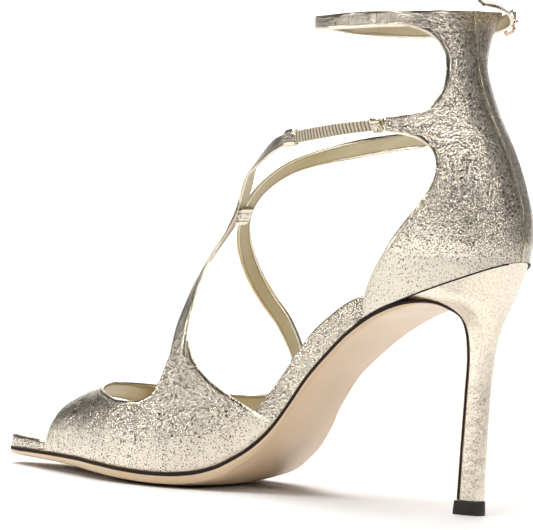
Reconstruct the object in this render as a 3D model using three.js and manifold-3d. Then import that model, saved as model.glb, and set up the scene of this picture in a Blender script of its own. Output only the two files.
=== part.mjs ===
// A right foot's open-toe high-heeled sandal in foil-finished leather, size 37.
// Millimetres, +X to the toe, +Y to the inner (medial) side, +Z up.
// The origin is the centre of the heel's top piece, on the floor.
import * as THREE from 'three';
import { mergeVertices } from 'three/addons/utils/BufferGeometryUtils.js';
import Module from 'manifold-3d';

const wasm = await Module();
wasm.setup();

// Driving sizes of the last
const shoeLength = 227;
const heelSetback = 16;
const seatHeight = 98.3;
const ballWidth = 72.5;
const collarHeight = 193.5;
const heelWidth = 51;
const instepHeight = 113;

// Sizes of the made pieces
const wall = 1.3;
const fitGap = 0.3;
const strapThickness = 1.4;
const instepStrapWidth = 7.6;
const ankleStrapWidth = 6.5;
const elasticWidth = 4.8;
const elasticThickness = 1.2;
const outsoleEdge = 1.8;
const treadCrown = 4.6;
const flapEdge = 1.2;
const flapCrown = 0.5;
const liftHeight = 5.4;
const liftGrow = 0.35;
const buckleHeight = 10;
const buckleLength = 9.5;
const buckleWire = 1.5;
const prongWire = 1.1;
const sleeveWidth = 7.2;
const sleeveRoom = 0.6;
const sleeveWall = 0.8;
const bindingLength = 7;
const bindingThickness = 0.9;

const up = new THREE.Vector3(0, 0, 1);
const lerp = THREE.MathUtils.lerp;
const clamp = THREE.MathUtils.clamp;

// A smooth curve through a table's rows that never overshoots them.
function curveThrough(rows, from, to, fromScale = 1, toScale = 1, fromShift = 0) {
  const x = rows.map((row) => row[from] * fromScale + fromShift);
  const y = rows.map((row) => row[to] * toScale);
  const last = x.length - 1;
  const slope = x.slice(1).map((value, i) => (y[i + 1] - y[i]) / (value - x[i]));
  const tangent = x.map((_, i) => {
    if (i === 0) return slope[0];
    if (i === last) return slope[last - 1];
    if (slope[i - 1] * slope[i] <= 0) return 0;
    const before = x[i] - x[i - 1];
    const after = x[i + 1] - x[i];
    const heavy = 2 * after + before;
    const light = after + 2 * before;
    return (heavy + light) / (heavy / slope[i - 1] + light / slope[i]);
  });
  return (value) => {
    const at = clamp(value, x[0], x[last]);
    let i = 0;
    while (i < last - 1 && at > x[i + 1]) i += 1;
    const span = x[i + 1] - x[i];
    const t = (at - x[i]) / span;
    const flat = 1 - t;
    return y[i] * flat * flat * (1 + 2 * t) + y[i + 1] * t * t * (3 - 2 * t)
      + tangent[i] * span * t * flat * flat - tangent[i + 1] * span * t * t * flat;
  };
}

// The last's bottom. at is a share of the shoe's length from the back of the heel, rise the
// feather line's height as a share of the seat's, medial and lateral are half widths as
// shares of the ball's width, and rim is how high the footbed stands over the feather line
// on the medial side, and bed over its middle, as shares of the seat's height.
const soleRows = [
  { at: 0.000, rise: 1.000, medial: 0.020, lateral: 0.020, rim: 0.065, bed: 0.045 },
  { at: 0.059, rise: 0.936, medial: 0.300, lateral: 0.300, rim: 0.065, bed: 0.045 },
  { at: 0.119, rise: 0.877, medial: 0.345, lateral: 0.355, rim: 0.065, bed: 0.048 },
  { at: 0.167, rise: 0.830, medial: 0.338, lateral: 0.358, rim: 0.068, bed: 0.050 },
  { at: 0.220, rise: 0.777, medial: 0.312, lateral: 0.356, rim: 0.080, bed: 0.056 },
  { at: 0.286, rise: 0.680, medial: 0.265, lateral: 0.342, rim: 0.122, bed: 0.072 },
  { at: 0.326, rise: 0.595, medial: 0.243, lateral: 0.316, rim: 0.145, bed: 0.082 },
  { at: 0.366, rise: 0.495, medial: 0.229, lateral: 0.296, rim: 0.162, bed: 0.088 },
  { at: 0.401, rise: 0.376, medial: 0.230, lateral: 0.310, rim: 0.165, bed: 0.092 },
  { at: 0.434, rise: 0.266, medial: 0.243, lateral: 0.372, rim: 0.158, bed: 0.082 },
  { at: 0.465, rise: 0.190, medial: 0.270, lateral: 0.430, rim: 0.128, bed: 0.068 },
  { at: 0.491, rise: 0.143, medial: 0.305, lateral: 0.462, rim: 0.096, bed: 0.058 },
  { at: 0.520, rise: 0.100, medial: 0.357, lateral: 0.485, rim: 0.068, bed: 0.048 },
  { at: 0.555, rise: 0.073, medial: 0.419, lateral: 0.496, rim: 0.052, bed: 0.040 },
  { at: 0.590, rise: 0.063, medial: 0.473, lateral: 0.498, rim: 0.045, bed: 0.038 },
  { at: 0.630, rise: 0.061, medial: 0.498, lateral: 0.497, rim: 0.042, bed: 0.037 },
  { at: 0.678, rise: 0.065, medial: 0.503, lateral: 0.488, rim: 0.042, bed: 0.037 },
  { at: 0.740, rise: 0.073, medial: 0.462, lateral: 0.448, rim: 0.042, bed: 0.037 },
  { at: 0.802, rise: 0.078, medial: 0.386, lateral: 0.370, rim: 0.042, bed: 0.037 },
  { at: 0.872, rise: 0.077, medial: 0.297, lateral: 0.245, rim: 0.043, bed: 0.037 },
  { at: 0.940, rise: 0.073, medial: 0.206, lateral: 0.110, rim: 0.047, bed: 0.040 },
  { at: 0.985, rise: 0.071, medial: 0.147, lateral: 0.030, rim: 0.050, bed: 0.044 },
  { at: 1.000, rise: 0.071, medial: 0.112, lateral: -0.010, rim: 0.050, bed: 0.046 },
];
const station = (at) => at * shoeLength - heelSetback;
const alongSole = (column, scale) => curveThrough(soleRows, 'at', column, shoeLength, scale, -heelSetback);
const featherHeight = alongSole('rise', seatHeight);
const medialHalf = alongSole('medial', ballWidth);
const lateralHalf = alongSole('lateral', ballWidth);
const rimHeight = alongSole('rim', seatHeight);
const bedHeight = alongSole('bed', seatHeight);
const toeX = station(1);
const heelX = station(0);

// The counter, as level sections. height is a share of the collar's, back the seam's place
// as a share of the shoe's length from the heel tip, reach and front the half lengths behind
// and before the widest place as shares of the shoe's length, medial and lateral half widths
// as shares of the heel's width, square how boxy the outer back corner is, and flare how far
// that corner stands out, as a share of the heel's width.
const counterRows = [
  {
    height: 0.360, back: -0.0705, reach: 0.145, front: 0.225,
    medial:0.490, lateral: 0.510, square: 2.2, flare: 0,
  },
  {
    height: 0.508, back: -0.0705, reach: 0.145, front: 0.225,
    medial:0.490, lateral: 0.510, square: 2.2, flare: 0,
  },
  {
    height: 0.548, back: -0.0735, reach: 0.154, front: 0.222,
    medial:0.530, lateral: 0.540, square: 2.2, flare: 0,
  },
  {
    height: 0.590, back: -0.0705, reach: 0.158, front: 0.220,
    medial:0.552, lateral: 0.558, square: 2.2, flare: 0,
  },
  {
    height: 0.646, back: -0.0575, reach: 0.160, front: 0.212,
    medial:0.558, lateral: 0.560, square: 2.2, flare: 0,
  },
  {
    height: 0.724, back: -0.0300, reach: 0.158, front: 0.195,
    medial:0.548, lateral: 0.550, square: 2.2, flare: 0,
  },
  {
    height: 0.806, back: 0.0085, reach: 0.150, front: 0.168,
    medial:0.530, lateral: 0.532, square: 2.2, flare: 0,
  },
  {
    height: 0.884, back: 0.0340, reach: 0.145, front: 0.155,
    medial:0.530, lateral: 0.532, square: 2.2, flare: 0,
  },
  {
    height: 0.930, back: 0.0400, reach: 0.145, front: 0.152,
    medial:0.550, lateral: 0.555, square: 2.4, flare: 0.015,
  },
  {
    height: 1.000, back: 0.0520, reach: 0.143, front: 0.149,
    medial:0.570, lateral: 0.600, square: 3.5, flare: 0.080,
  },
];
const upCounter = (column, scale) => curveThrough(counterRows, 'height', column, collarHeight, scale);
const counter = {
  back: upCounter('back', shoeLength),
  reach: upCounter('reach', shoeLength),
  front: upCounter('front', shoeLength),
  medial: upCounter('medial', heelWidth),
  lateral: upCounter('lateral', heelWidth),
  square: upCounter('square', 1),
  flare: upCounter('flare', heelWidth),
};
const roundCorner = 2.2;

// Half width of the counter at a place along the shoe and a height.
function counterHalf(x, z, side) {
  const middle = counter.back(z) + counter.reach(z);
  const half = side > 0 ? counter.medial(z) : counter.lateral(z);
  const power = side > 0 ? roundCorner : counter.square(z);
  const behind = x < middle;
  const share = clamp(Math.abs(x - middle) / (behind ? counter.reach(z) : counter.front(z)), 0, 1);
  const n = behind ? power : 2;
  return half * (1 - share ** n) ** (1 / n);
}

// The last's outline in plan: the counter's own foot round the heel, then the sole's table.
const counterEnds = station(0.15);
const tableStarts = station(0.22);
function outline(x, side) {
  const t = THREE.MathUtils.smoothstep(x, counterEnds, tableStarts);
  const fromTable = side > 0 ? medialHalf(x) : lateralHalf(x);
  if (t === 1) return fromTable;
  return lerp(counterHalf(x, featherHeight(x), side), fromTable, t);
}

// The foot's ridge line over the toes and up the instep. rise is a share of the instep's
// height and shift how far the ridge lies to the medial side, as a share of the ball's width.
const ridgeRows = [
  { at: 0.380, rise: 1.600, shift: 0.00 },
  { at: 0.510, rise: 1.170, shift: 0.00 },
  { at: 0.555, rise: 0.990, shift: 0.01 },
  { at: 0.600, rise: 0.810, shift: 0.02 },
  { at: 0.645, rise: 0.640, shift: 0.04 },
  { at: 0.690, rise: 0.500, shift: 0.06 },
  { at: 0.735, rise: 0.400, shift: 0.08 },
  { at: 0.780, rise: 0.334, shift: 0.09 },
  { at: 0.815, rise: 0.300, shift: 0.09 },
  { at: 0.855, rise: 0.262, shift: 0.08 },
  { at: 0.890, rise: 0.212, shift: 0.07 },
  { at: 0.920, rise: 0.160, shift: 0.06 },
  { at: 1.000, rise: 0.110, shift: 0.05 },
];
const ridgeHeight = curveThrough(ridgeRows, 'at', 'rise', shoeLength, instepHeight, -heelSetback);
const ridgeShift = curveThrough(ridgeRows, 'at', 'shift', shoeLength, ballWidth, -heelSetback);
const archFullness = 0.82;
const sideBulge = 1.6;

// A point of the vamp's outside: across runs from -1 at the lateral feather line over the
// ridge at 0 to +1 at the medial feather line, as a slightly squared half ellipse.
function vampSurface(x, across) {
  const side = across < 0 ? -1 : 1;
  const turn = (1 - Math.abs(across)) * Math.PI / 2;
  const foot = featherHeight(x) + fitGap;
  const ridge = ridgeShift(x);
  const out = Math.cos(turn) ** archFullness;
  const y = ridge + (side * outline(x, side) - ridge) * out + side * sideBulge * Math.sin(2 * turn);
  const z = foot + (ridgeHeight(x) - foot) * Math.sin(turn) ** archFullness;
  return new THREE.Vector3(x, y, z);
}

// A point of the counter's outside: around runs from -1 at the lateral front over the back
// seam at 0 to +1 at the medial front.
const counterSweep = THREE.MathUtils.degToRad(152);
function counterSurface(z, around) {
  const side = around < 0 ? -1 : 1;
  const turn = Math.abs(around) * counterSweep;
  const behind = turn < Math.PI / 2;
  const n = behind ? (side > 0 ? roundCorner : counter.square(z)) : 2;
  const half = side > 0 ? counter.medial(z) : counter.lateral(z);
  const reach = behind ? counter.reach(z) : counter.front(z);
  const share = Math.abs(Math.sin(turn)) ** (2 / n);
  const flare = side < 0 && behind ? counter.flare(z) * 4 * share ** 2 * (1 - share ** 2) : 0;
  const lengthwise = Math.sign(Math.cos(turn)) * Math.abs(Math.cos(turn)) ** (2 / n);
  const x = counter.back(z) + counter.reach(z) - reach * lengthwise - flare;
  return new THREE.Vector3(x, side * half * share, z);
}

// Upper edges of the vamp seen from each side: at along the shoe, rise over the floor as a
// share of the instep's height. The peaks are where the instep straps start.
const medialVampRows = [
  { at: 0.300, rise: 0.150 }, { at: 0.405, rise: 0.245 }, { at: 0.425, rise: 0.258 },
  { at: 0.458, rise: 0.285 }, { at: 0.493, rise: 0.328 }, { at: 0.520, rise: 0.365 },
  { at: 0.542, rise: 0.405 }, { at: 0.560, rise: 0.460 }, { at: 0.574, rise: 0.520 },
  { at: 0.592, rise: 0.520 }, { at: 0.604, rise: 0.445 }, { at: 0.614, rise: 0.375 },
  { at: 0.632, rise: 0.318 }, { at: 0.662, rise: 0.292 }, { at: 0.700, rise: 0.290 },
  { at: 0.735, rise: 0.302 }, { at: 0.775, rise: 0.322 }, { at: 0.800, rise: 0.400 },
  { at: 1.000, rise: 0.600 },
];
const lateralVampRows = [
  { at: 0.300, rise: 0.150 }, { at: 0.395, rise: 0.220 }, { at: 0.415, rise: 0.262 },
  { at: 0.440, rise: 0.340 }, { at: 0.470, rise: 0.425 }, { at: 0.498, rise: 0.512 },
  { at: 0.516, rise: 0.540 }, { at: 0.530, rise: 0.462 }, { at: 0.541, rise: 0.388 },
  { at: 0.556, rise: 0.342 }, { at: 0.578, rise: 0.314 }, { at: 0.612, rise: 0.302 },
  { at: 0.660, rise: 0.300 }, { at: 0.720, rise: 0.308 }, { at: 0.780, rise: 0.325 },
  { at: 0.805, rise: 0.400 }, { at: 1.000, rise: 0.600 },
];
const vampEdge = (rows) => curveThrough(rows, 'at', 'rise', shoeLength, instepHeight, -heelSetback);
const medialVampEdge = vampEdge(medialVampRows);
const lateralVampEdge = vampEdge(lateralVampRows);

// The toe opening's edge: across as on the vamp's surface, at along the shoe.
const toeOpeningRows = [
  { across: -1.0, at: 0.800 }, { across: -0.6, at: 0.812 }, { across: -0.2, at: 0.838 },
  { across: 0.1, at: 0.858 }, { across: 0.5, at: 0.876 }, { across: 0.8, at: 0.888 },
  { across: 1.0, at: 0.895 },
];
const toeOpening = curveThrough(toeOpeningRows, 'across', 'at');

// Front edges of the counter: height as a share of the collar's, at along the shoe. The
// medial one runs out into the tab that holds the elastic and into the ankle strap.
const medialCounterRows = [
  { height: 0.360, at: 0.238 }, { height: 0.381, at: 0.242 }, { height: 0.400, at: 0.249 },
  { height: 0.424, at: 0.247 }, { height: 0.449, at: 0.240 }, { height: 0.478, at: 0.228 },
  { height: 0.514, at: 0.208 }, { height: 0.553, at: 0.180 }, { height: 0.587, at: 0.155 },
  { height: 0.615, at: 0.136 }, { height: 0.640, at: 0.123 }, { height: 0.662, at: 0.116 },
  { height: 0.687, at: 0.113 }, { height: 0.711, at: 0.119 }, { height: 0.731, at: 0.134 },
  { height: 0.742, at: 0.154 }, { height: 0.748, at: 0.190 }, { height: 0.7525, at: 0.220 },
  { height: 0.7750, at: 0.220 }, { height: 0.785, at: 0.188 }, { height: 0.793, at: 0.162 },
  { height: 0.804, at: 0.144 }, { height: 0.823, at: 0.132 }, { height: 0.848, at: 0.126 },
  { height: 0.876, at: 0.127 }, { height: 0.904, at: 0.130 }, { height: 0.926, at: 0.137 },
  { height: 0.943, at: 0.149 }, { height: 0.954, at: 0.165 }, { height: 0.959, at: 0.182 },
  { height: 0.962, at: 0.200 }, { height: 1.000, at: 0.200 },
];
const lateralCounterRows = [
  { height: 0.360, at: 0.238 }, { height: 0.381, at: 0.242 }, { height: 0.400, at: 0.249 },
  { height: 0.424, at: 0.247 }, { height: 0.449, at: 0.240 }, { height: 0.478, at: 0.228 },
  { height: 0.514, at: 0.206 }, { height: 0.553, at: 0.178 }, { height: 0.587, at: 0.154 },
  { height: 0.615, at: 0.137 }, { height: 0.640, at: 0.126 }, { height: 0.662, at: 0.121 },
  { height: 0.682, at: 0.126 }, { height: 0.698, at: 0.142 }, { height: 0.706, at: 0.166 },
  { height: 0.710, at: 0.200 }, { height: 0.713, at: 0.236 }, { height: 0.751, at: 0.236 },
  { height: 0.755, at: 0.200 }, { height: 0.760, at: 0.168 }, { height: 0.770, at: 0.148 },
  { height: 0.790, at: 0.134 }, { height: 0.820, at: 0.127 }, { height: 0.860, at: 0.125 },
  { height: 0.900, at: 0.126 }, { height: 0.940, at: 0.128 }, { height: 0.970, at: 0.130 },
  { height: 1.000, at: 0.130 },
];
const collarTopRows = [
  { at: 0.080, rise: 1.000 }, { at: 0.130, rise: 0.998 }, { at: 0.175, rise: 0.994 },
  { at: 0.205, rise: 0.991 }, { at: 0.300, rise: 0.985 },
];
const collarTop = curveThrough(collarTopRows, 'at', 'rise', shoeLength, collarHeight, -heelSetback);
const counterEdge = (rows) => curveThrough(rows, 'height', 'at', collarHeight, shoeLength);
const medialCounterEdge = counterEdge(medialCounterRows);
const lateralCounterEdge = counterEdge(lateralCounterRows);

// Distance inside an edge that is a curve over one axis: the drop to it, levelled by its slope.
function insideEdge(edge, along, value) {
  const step = 0.4;
  const slope = (edge(along + step) - edge(along - step)) / (2 * step);
  return (edge(along) - value) / Math.hypot(1, slope);
}

function insideVamp(x, across, point) {
  const edge = across > 0 ? medialVampEdge : lateralVampEdge;
  return Math.min(insideEdge(edge, x, point.z), station(toeOpening(across)) - x);
}

function insideCounter(z, around, point) {
  const edge = around > 0 ? medialCounterEdge : lateralCounterEdge;
  const front = insideEdge((height) => edge(height) - heelSetback, z, point.x);
  const under = around > 0 ? insideEdge(collarTop, point.x, z) : front;
  return Math.min(front, under, -insideEdge((x) => featherHeight(x) + fitGap, point.x, point.z));
}

// Outward unit normal of a surface of two parameters.
function surfaceNormal(surface, u, v, uStep, vStep) {
  const alongU = surface(u + uStep, v).sub(surface(u - uStep, v));
  const alongV = surface(u, v + vStep).sub(surface(u, v - vStep));
  return alongU.cross(alongV).normalize();
}

// A cut sheet: the surface over a grid, kept where inside is positive. Grid points near the
// cut are moved onto it, so its edge is clean, and the wall is given inwards.
function cutSheet({ surface, inside, uRange, vRange, columns, rows, thickness, flip }) {
  const count = (columns + 1) * (rows + 1);
  const id = (i, j) => i * (rows + 1) + j;
  const param = [];
  for (let i = 0; i <= columns; i += 1) {
    for (let j = 0; j <= rows; j += 1) {
      param.push([lerp(...uRange, i / columns), lerp(...vRange, j / rows)]);
    }
  }
  const measure = ([u, v]) => inside(u, v, surface(u, v));
  const depth = param.map(measure);
  const crossing = (a, b) => {
    let low = 0;
    let high = 1;
    for (let k = 0; k < 18; k += 1) {
      const t = (low + high) / 2;
      const value = measure([lerp(param[a][0], param[b][0], t), lerp(param[a][1], param[b][1], t)]);
      if (value > 0 === depth[a] > 0) low = t;
      else high = t;
    }
    return (low + high) / 2;
  };
  const snapShare = 0.38;
  const moves = new Map();
  const edges = [[1, 0], [0, 1], [1, 1]];
  for (let i = 0; i <= columns; i += 1) {
    for (let j = 0; j <= rows; j += 1) {
      for (const [di, dj] of edges) {
        if (i + di > columns || j + dj > rows) continue;
        const a = id(i, j);
        const b = id(i + di, j + dj);
        if (depth[a] > 0 === depth[b] > 0) continue;
        const t = crossing(a, b);
        const [near, share] = t < 0.5 ? [a, t] : [b, 1 - t];
        const on = [0, 1].map((k) => lerp(param[a][k], param[b][k], t));
        if (share < snapShare && !(moves.get(near)?.share < share)) moves.set(near, { share, on });
      }
    }
  }
  const border = (value, range) => Math.abs(value - range[0]) < 1e-9 || Math.abs(value - range[1]) < 1e-9;
  const sign = depth.map((value) => (value > 0 ? 1 : -1));
  for (const [a, { on }] of moves) {
    if (border(param[a][0], uRange)) on[0] = param[a][0];
    if (border(param[a][1], vRange)) on[1] = param[a][1];
    param[a] = on;
    sign[a] = 0;
  }
  const cuts = new Map();
  const cutPoint = (a, b) => {
    const key = a < b ? a * count + b : b * count + a;
    if (!cuts.has(key)) {
      const t = clamp(crossing(Math.min(a, b), Math.max(a, b)), 0.05, 0.95);
      const [p, q] = [param[Math.min(a, b)], param[Math.max(a, b)]];
      cuts.set(key, param.length);
      param.push([lerp(p[0], q[0], t), lerp(p[1], q[1], t)]);
    }
    return cuts.get(key);
  };
  const faces = [];
  const keep = (corners) => {
    const kept = [];
    corners.forEach((a, k) => {
      const b = corners[(k + 1) % 3];
      if (sign[a] >= 0) kept.push(a);
      if (sign[a] * sign[b] < 0) kept.push(cutPoint(a, b));
    });
    if (kept.length < 3 || corners.every((a) => sign[a] <= 0)) return;
    for (let k = 2; k < kept.length; k += 1) faces.push([kept[0], kept[k - 1], kept[k]]);
  };
  for (let i = 0; i < columns; i += 1) {
    for (let j = 0; j < rows; j += 1) {
      keep([id(i, j), id(i + 1, j), id(i + 1, j + 1)]);
      keep([id(i, j), id(i + 1, j + 1), id(i, j + 1)]);
    }
  }
  const used = new Map();
  const positions = [];
  const place = (a) => {
    if (!used.has(a)) {
      const [u, v] = param[a];
      const outer = surface(u, v);
      const uIn = clamp(u, uRange[0] + 0.01, uRange[1] - 0.01);
      const vIn = clamp(v, vRange[0] + 0.003, vRange[1] - 0.003);
      const normal = surfaceNormal(surface, uIn, vIn, 0.01, 0.003);
      if (flip) normal.negate();
      used.set(a, positions.length);
      positions.push(outer, outer.clone().addScaledVector(normal, -thickness));
    }
    return used.get(a);
  };
  const triangles = [];
  const open = new Map();
  for (const face of faces) {
    const [a, b, c] = (flip ? [face[0], face[2], face[1]] : face).map(place);
    triangles.push([a, b, c], [a + 1, c + 1, b + 1]);
    for (const [p, q] of [[a, b], [b, c], [c, a]]) {
      if (open.has(`${q} ${p}`)) open.delete(`${q} ${p}`);
      else open.set(`${p} ${q}`, [p, q]);
    }
  }
  for (const [p, q] of open.values()) triangles.push([q, p, p + 1], [q, p + 1, q + 1]);
  return solidFrom(positions, triangles);
}

function solidFrom(points, triangles) {
  const vertProperties = new Float32Array(points.flatMap((point) => point.toArray()));
  const mesh = new wasm.Mesh({ numProp: 3, vertProperties, triVerts: new Uint32Array(triangles.flat()) });
  return new wasm.Manifold(mesh);
}

function largestBody(solid) {
  return solid.decompose().reduce((a, b) => (a.volume() > b.volume() ? a : b));
}

// A solid lofted through closed rings of points, each ring turning the same way, with its
// ends closed to their middles, or with its last ring joined to its first.
function loft(rings, closed = false) {
  const size = rings[0].length;
  const points = rings.flat();
  const triangles = [];
  const spans = closed ? rings.length : rings.length - 1;
  for (let i = 0; i < spans; i += 1) {
    const here = i * size;
    const next = ((i + 1) % rings.length) * size;
    for (let j = 0; j < size; j += 1) {
      const k = (j + 1) % size;
      triangles.push([here + j, here + k, next + k], [here + j, next + k, next + j]);
    }
  }
  if (!closed) {
    [[0, true], [(rings.length - 1) * size, false]].forEach(([start, first]) => {
      const middle = new THREE.Vector3();
      for (let j = 0; j < size; j += 1) middle.addScaledVector(points[start + j], 1 / size);
      const tip = points.push(middle) - 1;
      for (let j = 0; j < size; j += 1) {
        const k = (j + 1) % size;
        triangles.push(first ? [tip, start + k, start + j] : [tip, start + j, start + k]);
      }
    });
  }
  const solid = solidFrom(points, triangles);
  if (solid.volume() > 0) return solid;
  return solidFrom(points, triangles.map(([a, b, c]) => [a, c, b]));
}

// A strap: a flat band with eased edges along a smooth line through its rows, turned so that
// its outside faces the way that facing says.
function strap({ rows, width, thickness, facing, steps }) {
  const spine = new THREE.CatmullRomCurve3(rows.map((row) => row.point), false, 'centripetal');
  const stops = rows.map(({ wide = 1, twist = 0 }, i) => ({ share: i / (rows.length - 1), wide, twist }));
  const widths = curveThrough(stops, 'share', 'wide');
  const twists = curveThrough(stops, 'share', 'twist');
  const ease = thickness * 0.3;
  const rings = [];
  for (let i = 0; i <= steps; i += 1) {
    const t = i / steps;
    const centre = spine.getPoint(t);
    const along = spine.getTangent(t);
    const out = facing(centre, along);
    out.addScaledVector(along, -out.dot(along)).normalize();
    out.applyAxisAngle(along, THREE.MathUtils.degToRad(twists(t)));
    const across = along.clone().cross(out);
    const w = width * widths(t) / 2;
    const h = thickness / 2;
    const section = [[w, h - ease], [w - ease, h], [ease - w, h], [-w, h - ease],
      [-w, ease - h], [ease - w, -h], [w - ease, -h], [w, ease - h]];
    rings.push(section.map(([a, b]) => centre.clone().addScaledVector(across, a).addScaledVector(out, b)));
  }
  return loft(rings);
}

// The foot inside the straps, as an upright oval tube round this line. It says which way a
// strap's outside faces.
const axisLow = new THREE.Vector3(station(0.643), 0, seatHeight * 0.2);
const axisHigh = new THREE.Vector3(station(0.256), 0, collarHeight * 0.97);
const footAxis = axisHigh.clone().sub(axisLow).normalize();
const ovalSquash = 0.62;
function facingInstep(point) {
  const out = point.clone().sub(axisLow);
  out.addScaledVector(footAxis, -out.dot(footAxis));
  out.y *= ovalSquash;
  return out;
}

// Instep straps. Each row is a place on the strap's middle line: at along the shoe, across
// as a share of the ball's width (medial positive), rise as a share of the instep's height,
// and wide as a share of the strap's width.
const instepPlace = (row) => ({
  ...row,
  point: new THREE.Vector3(station(row.at), row.across * ballWidth, row.rise * instepHeight),
});
const medialStrapRows = [
  { at: 0.579, across: 0.479, rise: 0.336, wide: 0.90 },
  { at: 0.581, across: 0.472, rise: 0.407, wide: 1.10 },
  { at: 0.583, across: 0.454, rise: 0.478, wide: 1.00 },
  { at: 0.585, across: 0.422, rise: 0.562, wide: 0.95 },
  { at: 0.583, across: 0.370, rise: 0.646, wide: 0.90 },
  { at: 0.581, across: 0.287, rise: 0.739, wide: 0.90 },
  { at: 0.571, across: 0.178, rise: 0.841, wide: 0.92 },
  { at: 0.559, across: 0.079, rise: 0.938, wide: 0.95 },
  { at: 0.549, across: 0.050, rise: 1.020, wide: 1.00 },
  { at: 0.524, across: 0.120, rise: 1.105, wide: 1.05 },
  { at: 0.482, across: 0.234, rise: 1.160, wide: 1.05 },
  { at: 0.436, across: 0.326, rise: 1.212, wide: 0.84 },
  { at: 0.402, across: 0.363, rise: 1.238, wide: 0.62 },
].map(instepPlace);
const lateralStrapRows = [
  { at: 0.496, across: -0.452, rise: 0.319, wide: 0.90 },
  { at: 0.509, across: -0.450, rise: 0.407, wide: 1.20 },
  { at: 0.526, across: -0.440, rise: 0.500, wide: 1.05 },
  { at: 0.546, across: -0.411, rise: 0.580, wide: 0.96 },
  { at: 0.566, across: -0.356, rise: 0.646, wide: 0.93 },
  { at: 0.578, across: -0.279, rise: 0.717, wide: 0.92 },
  { at: 0.581, across: -0.185, rise: 0.796, wide: 0.92 },
  { at: 0.575, across: -0.095, rise: 0.880, wide: 0.95 },
  { at: 0.562, across: -0.051, rise: 0.960, wide: 0.95 },
  { at: 0.546, across: -0.105, rise: 1.045, wide: 0.92 },
  { at: 0.516, across: -0.215, rise: 1.120, wide: 0.92 },
  { at: 0.470, across: -0.326, rise: 1.170, wide: 0.95 },
  { at: 0.410, across: -0.385, rise: 1.205, wide: 1.00 },
  { at: 0.330, across: -0.397, rise: 1.238, wide: 1.00 },
  { at: 0.262, across: -0.383, rise: 1.255, wide: 0.95 },
  { at: 0.215, across: -0.375, rise: 1.262, wide: 0.75 },
].map(instepPlace);

// The elastic runs from the medial strap's end to the counter's tab.
const elasticRows = [
  { at: 0.4005, across: 0.363, rise: 1.2400 },
  { at: 0.345, across: 0.384, rise: 1.264 },
  { at: 0.285, across: 0.389, rise: 1.288 },
  { at: 0.2214, across: 0.372, rise: 1.3075 },
].map(instepPlace);

// The ankle strap leaves the counter's medial top, rounds the ankle, passes the buckle at
// the lateral back corner and ends free behind the collar.
const collarMiddle = counter.back(collarHeight) + counter.reach(collarHeight);
const anklePlace = (row) => ({
  ...row,
  point: new THREE.Vector3(station(row.at), row.across * heelWidth, row.height * collarHeight),
});
const ankleStrapRows = [
  { at: 0.1586, across: 0.392, height: 0.9783, wide: 0.70 },
  { at: 0.1762, across: 0.453, height: 0.9773, wide: 0.98 },
  { at: 0.2026, across: 0.510, height: 0.9747, wide: 1.00 },
  { at: 0.2361, across: 0.547, height: 0.9716, wide: 1.00 },
  { at: 0.2925, across: 0.547, height: 0.9649, wide: 0.97 },
  { at: 0.3410, across: 0.482, height: 0.9597, wide: 0.90 },
  { at: 0.3802, across: 0.357, height: 0.9576, wide: 0.85 },
  { at: 0.4035, across: 0.196, height: 0.9581, wide: 0.82 },
  { at: 0.4110, across: 0.000, height: 0.9576, wide: 0.82 },
  { at: 0.4035, across: -0.206, height: 0.9540, wide: 0.84 },
  { at: 0.3802, across: -0.373, height: 0.9525, wide: 0.90 },
  { at: 0.3410, across: -0.506, height: 0.9519, wide: 0.95 },
  { at: 0.2925, across: -0.576, height: 0.9540, wide: 1.00 },
  { at: 0.2361, across: -0.602, height: 0.9587, wide: 1.00 },
  { at: 0.1996, across: -0.602, height: 0.9638, wide: 1.00 },
  { at: 0.1652, across: -0.588, height: 0.9690, wide: 1.00 },
  { at: 0.1344, across: -0.545, height: 0.9757, wide: 1.00, twist: 4 },
  { at: 0.1123, across: -0.471, height: 0.9845, wide: 1.00, twist: 14 },
  { at: 0.0969, across: -0.343, height: 0.9953, wide: 0.98, twist: 34 },
  { at: 0.0894, across: -0.196, height: 1.0057, wide: 0.95, twist: 52 },
  { at: 0.0907, across: -0.059, height: 1.0119, wide: 0.90, twist: 60 },
  { at: 0.0991, across: 0.069, height: 1.0150, wide: 0.70, twist: 62 },
].map(anklePlace);
const facingAnkle = (point) => new THREE.Vector3(point.x - collarMiddle, point.y, 0);

// A loop of leather that wraps both instep straps where they meet.
function instepBinding() {
  const place = { at: 0.5585, across: 0.008, rise: 0.952 };
  const centre = instepPlace(place).point;
  const along = footAxis.clone();
  const out = facingInstep(centre).normalize();
  const across = along.clone().cross(out).normalize();
  const halfWide = instepStrapWidth * 0.93;
  const halfThick = strapThickness / 2 + bindingThickness;
  const corner = halfThick * 0.55;
  const ring = [[halfWide, halfThick - corner], [halfWide - corner, halfThick], [0, halfThick + 0.4],
    [corner - halfWide, halfThick], [-halfWide, halfThick - corner], [-halfWide, corner - halfThick],
    [corner - halfWide, -halfThick], [0, -halfThick + 0.2], [halfWide - corner, -halfThick],
    [halfWide, corner - halfThick]];
  const rings = [-0.5, 0.5].map((end) => ring.map(([a, b]) => centre.clone()
    .addScaledVector(along, end * bindingLength).addScaledVector(across, a).addScaledVector(out, b)));
  return loft(rings);
}

// The two cut sheets, in a given wall, or in a thicker one to cut their room out of a neighbour.
function cutSheets(thickness) {
  const vamp = cutSheet({
    surface: vampSurface,
    inside: insideVamp,
    uRange: [station(0.385), station(0.91)],
    vRange: [-1, 1],
    columns: 34,
    rows: 36,
    thickness,
    flip: true,
  });
  const quarter = cutSheet({
    surface: counterSurface,
    inside: insideCounter,
    uRange: [featherHeight(station(0.25)) - 1, collarHeight],
    vRange: [-1, 1],
    columns: 32,
    rows: 42,
    thickness,
    flip: false,
  });
  return [vamp, quarter];
}

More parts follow.
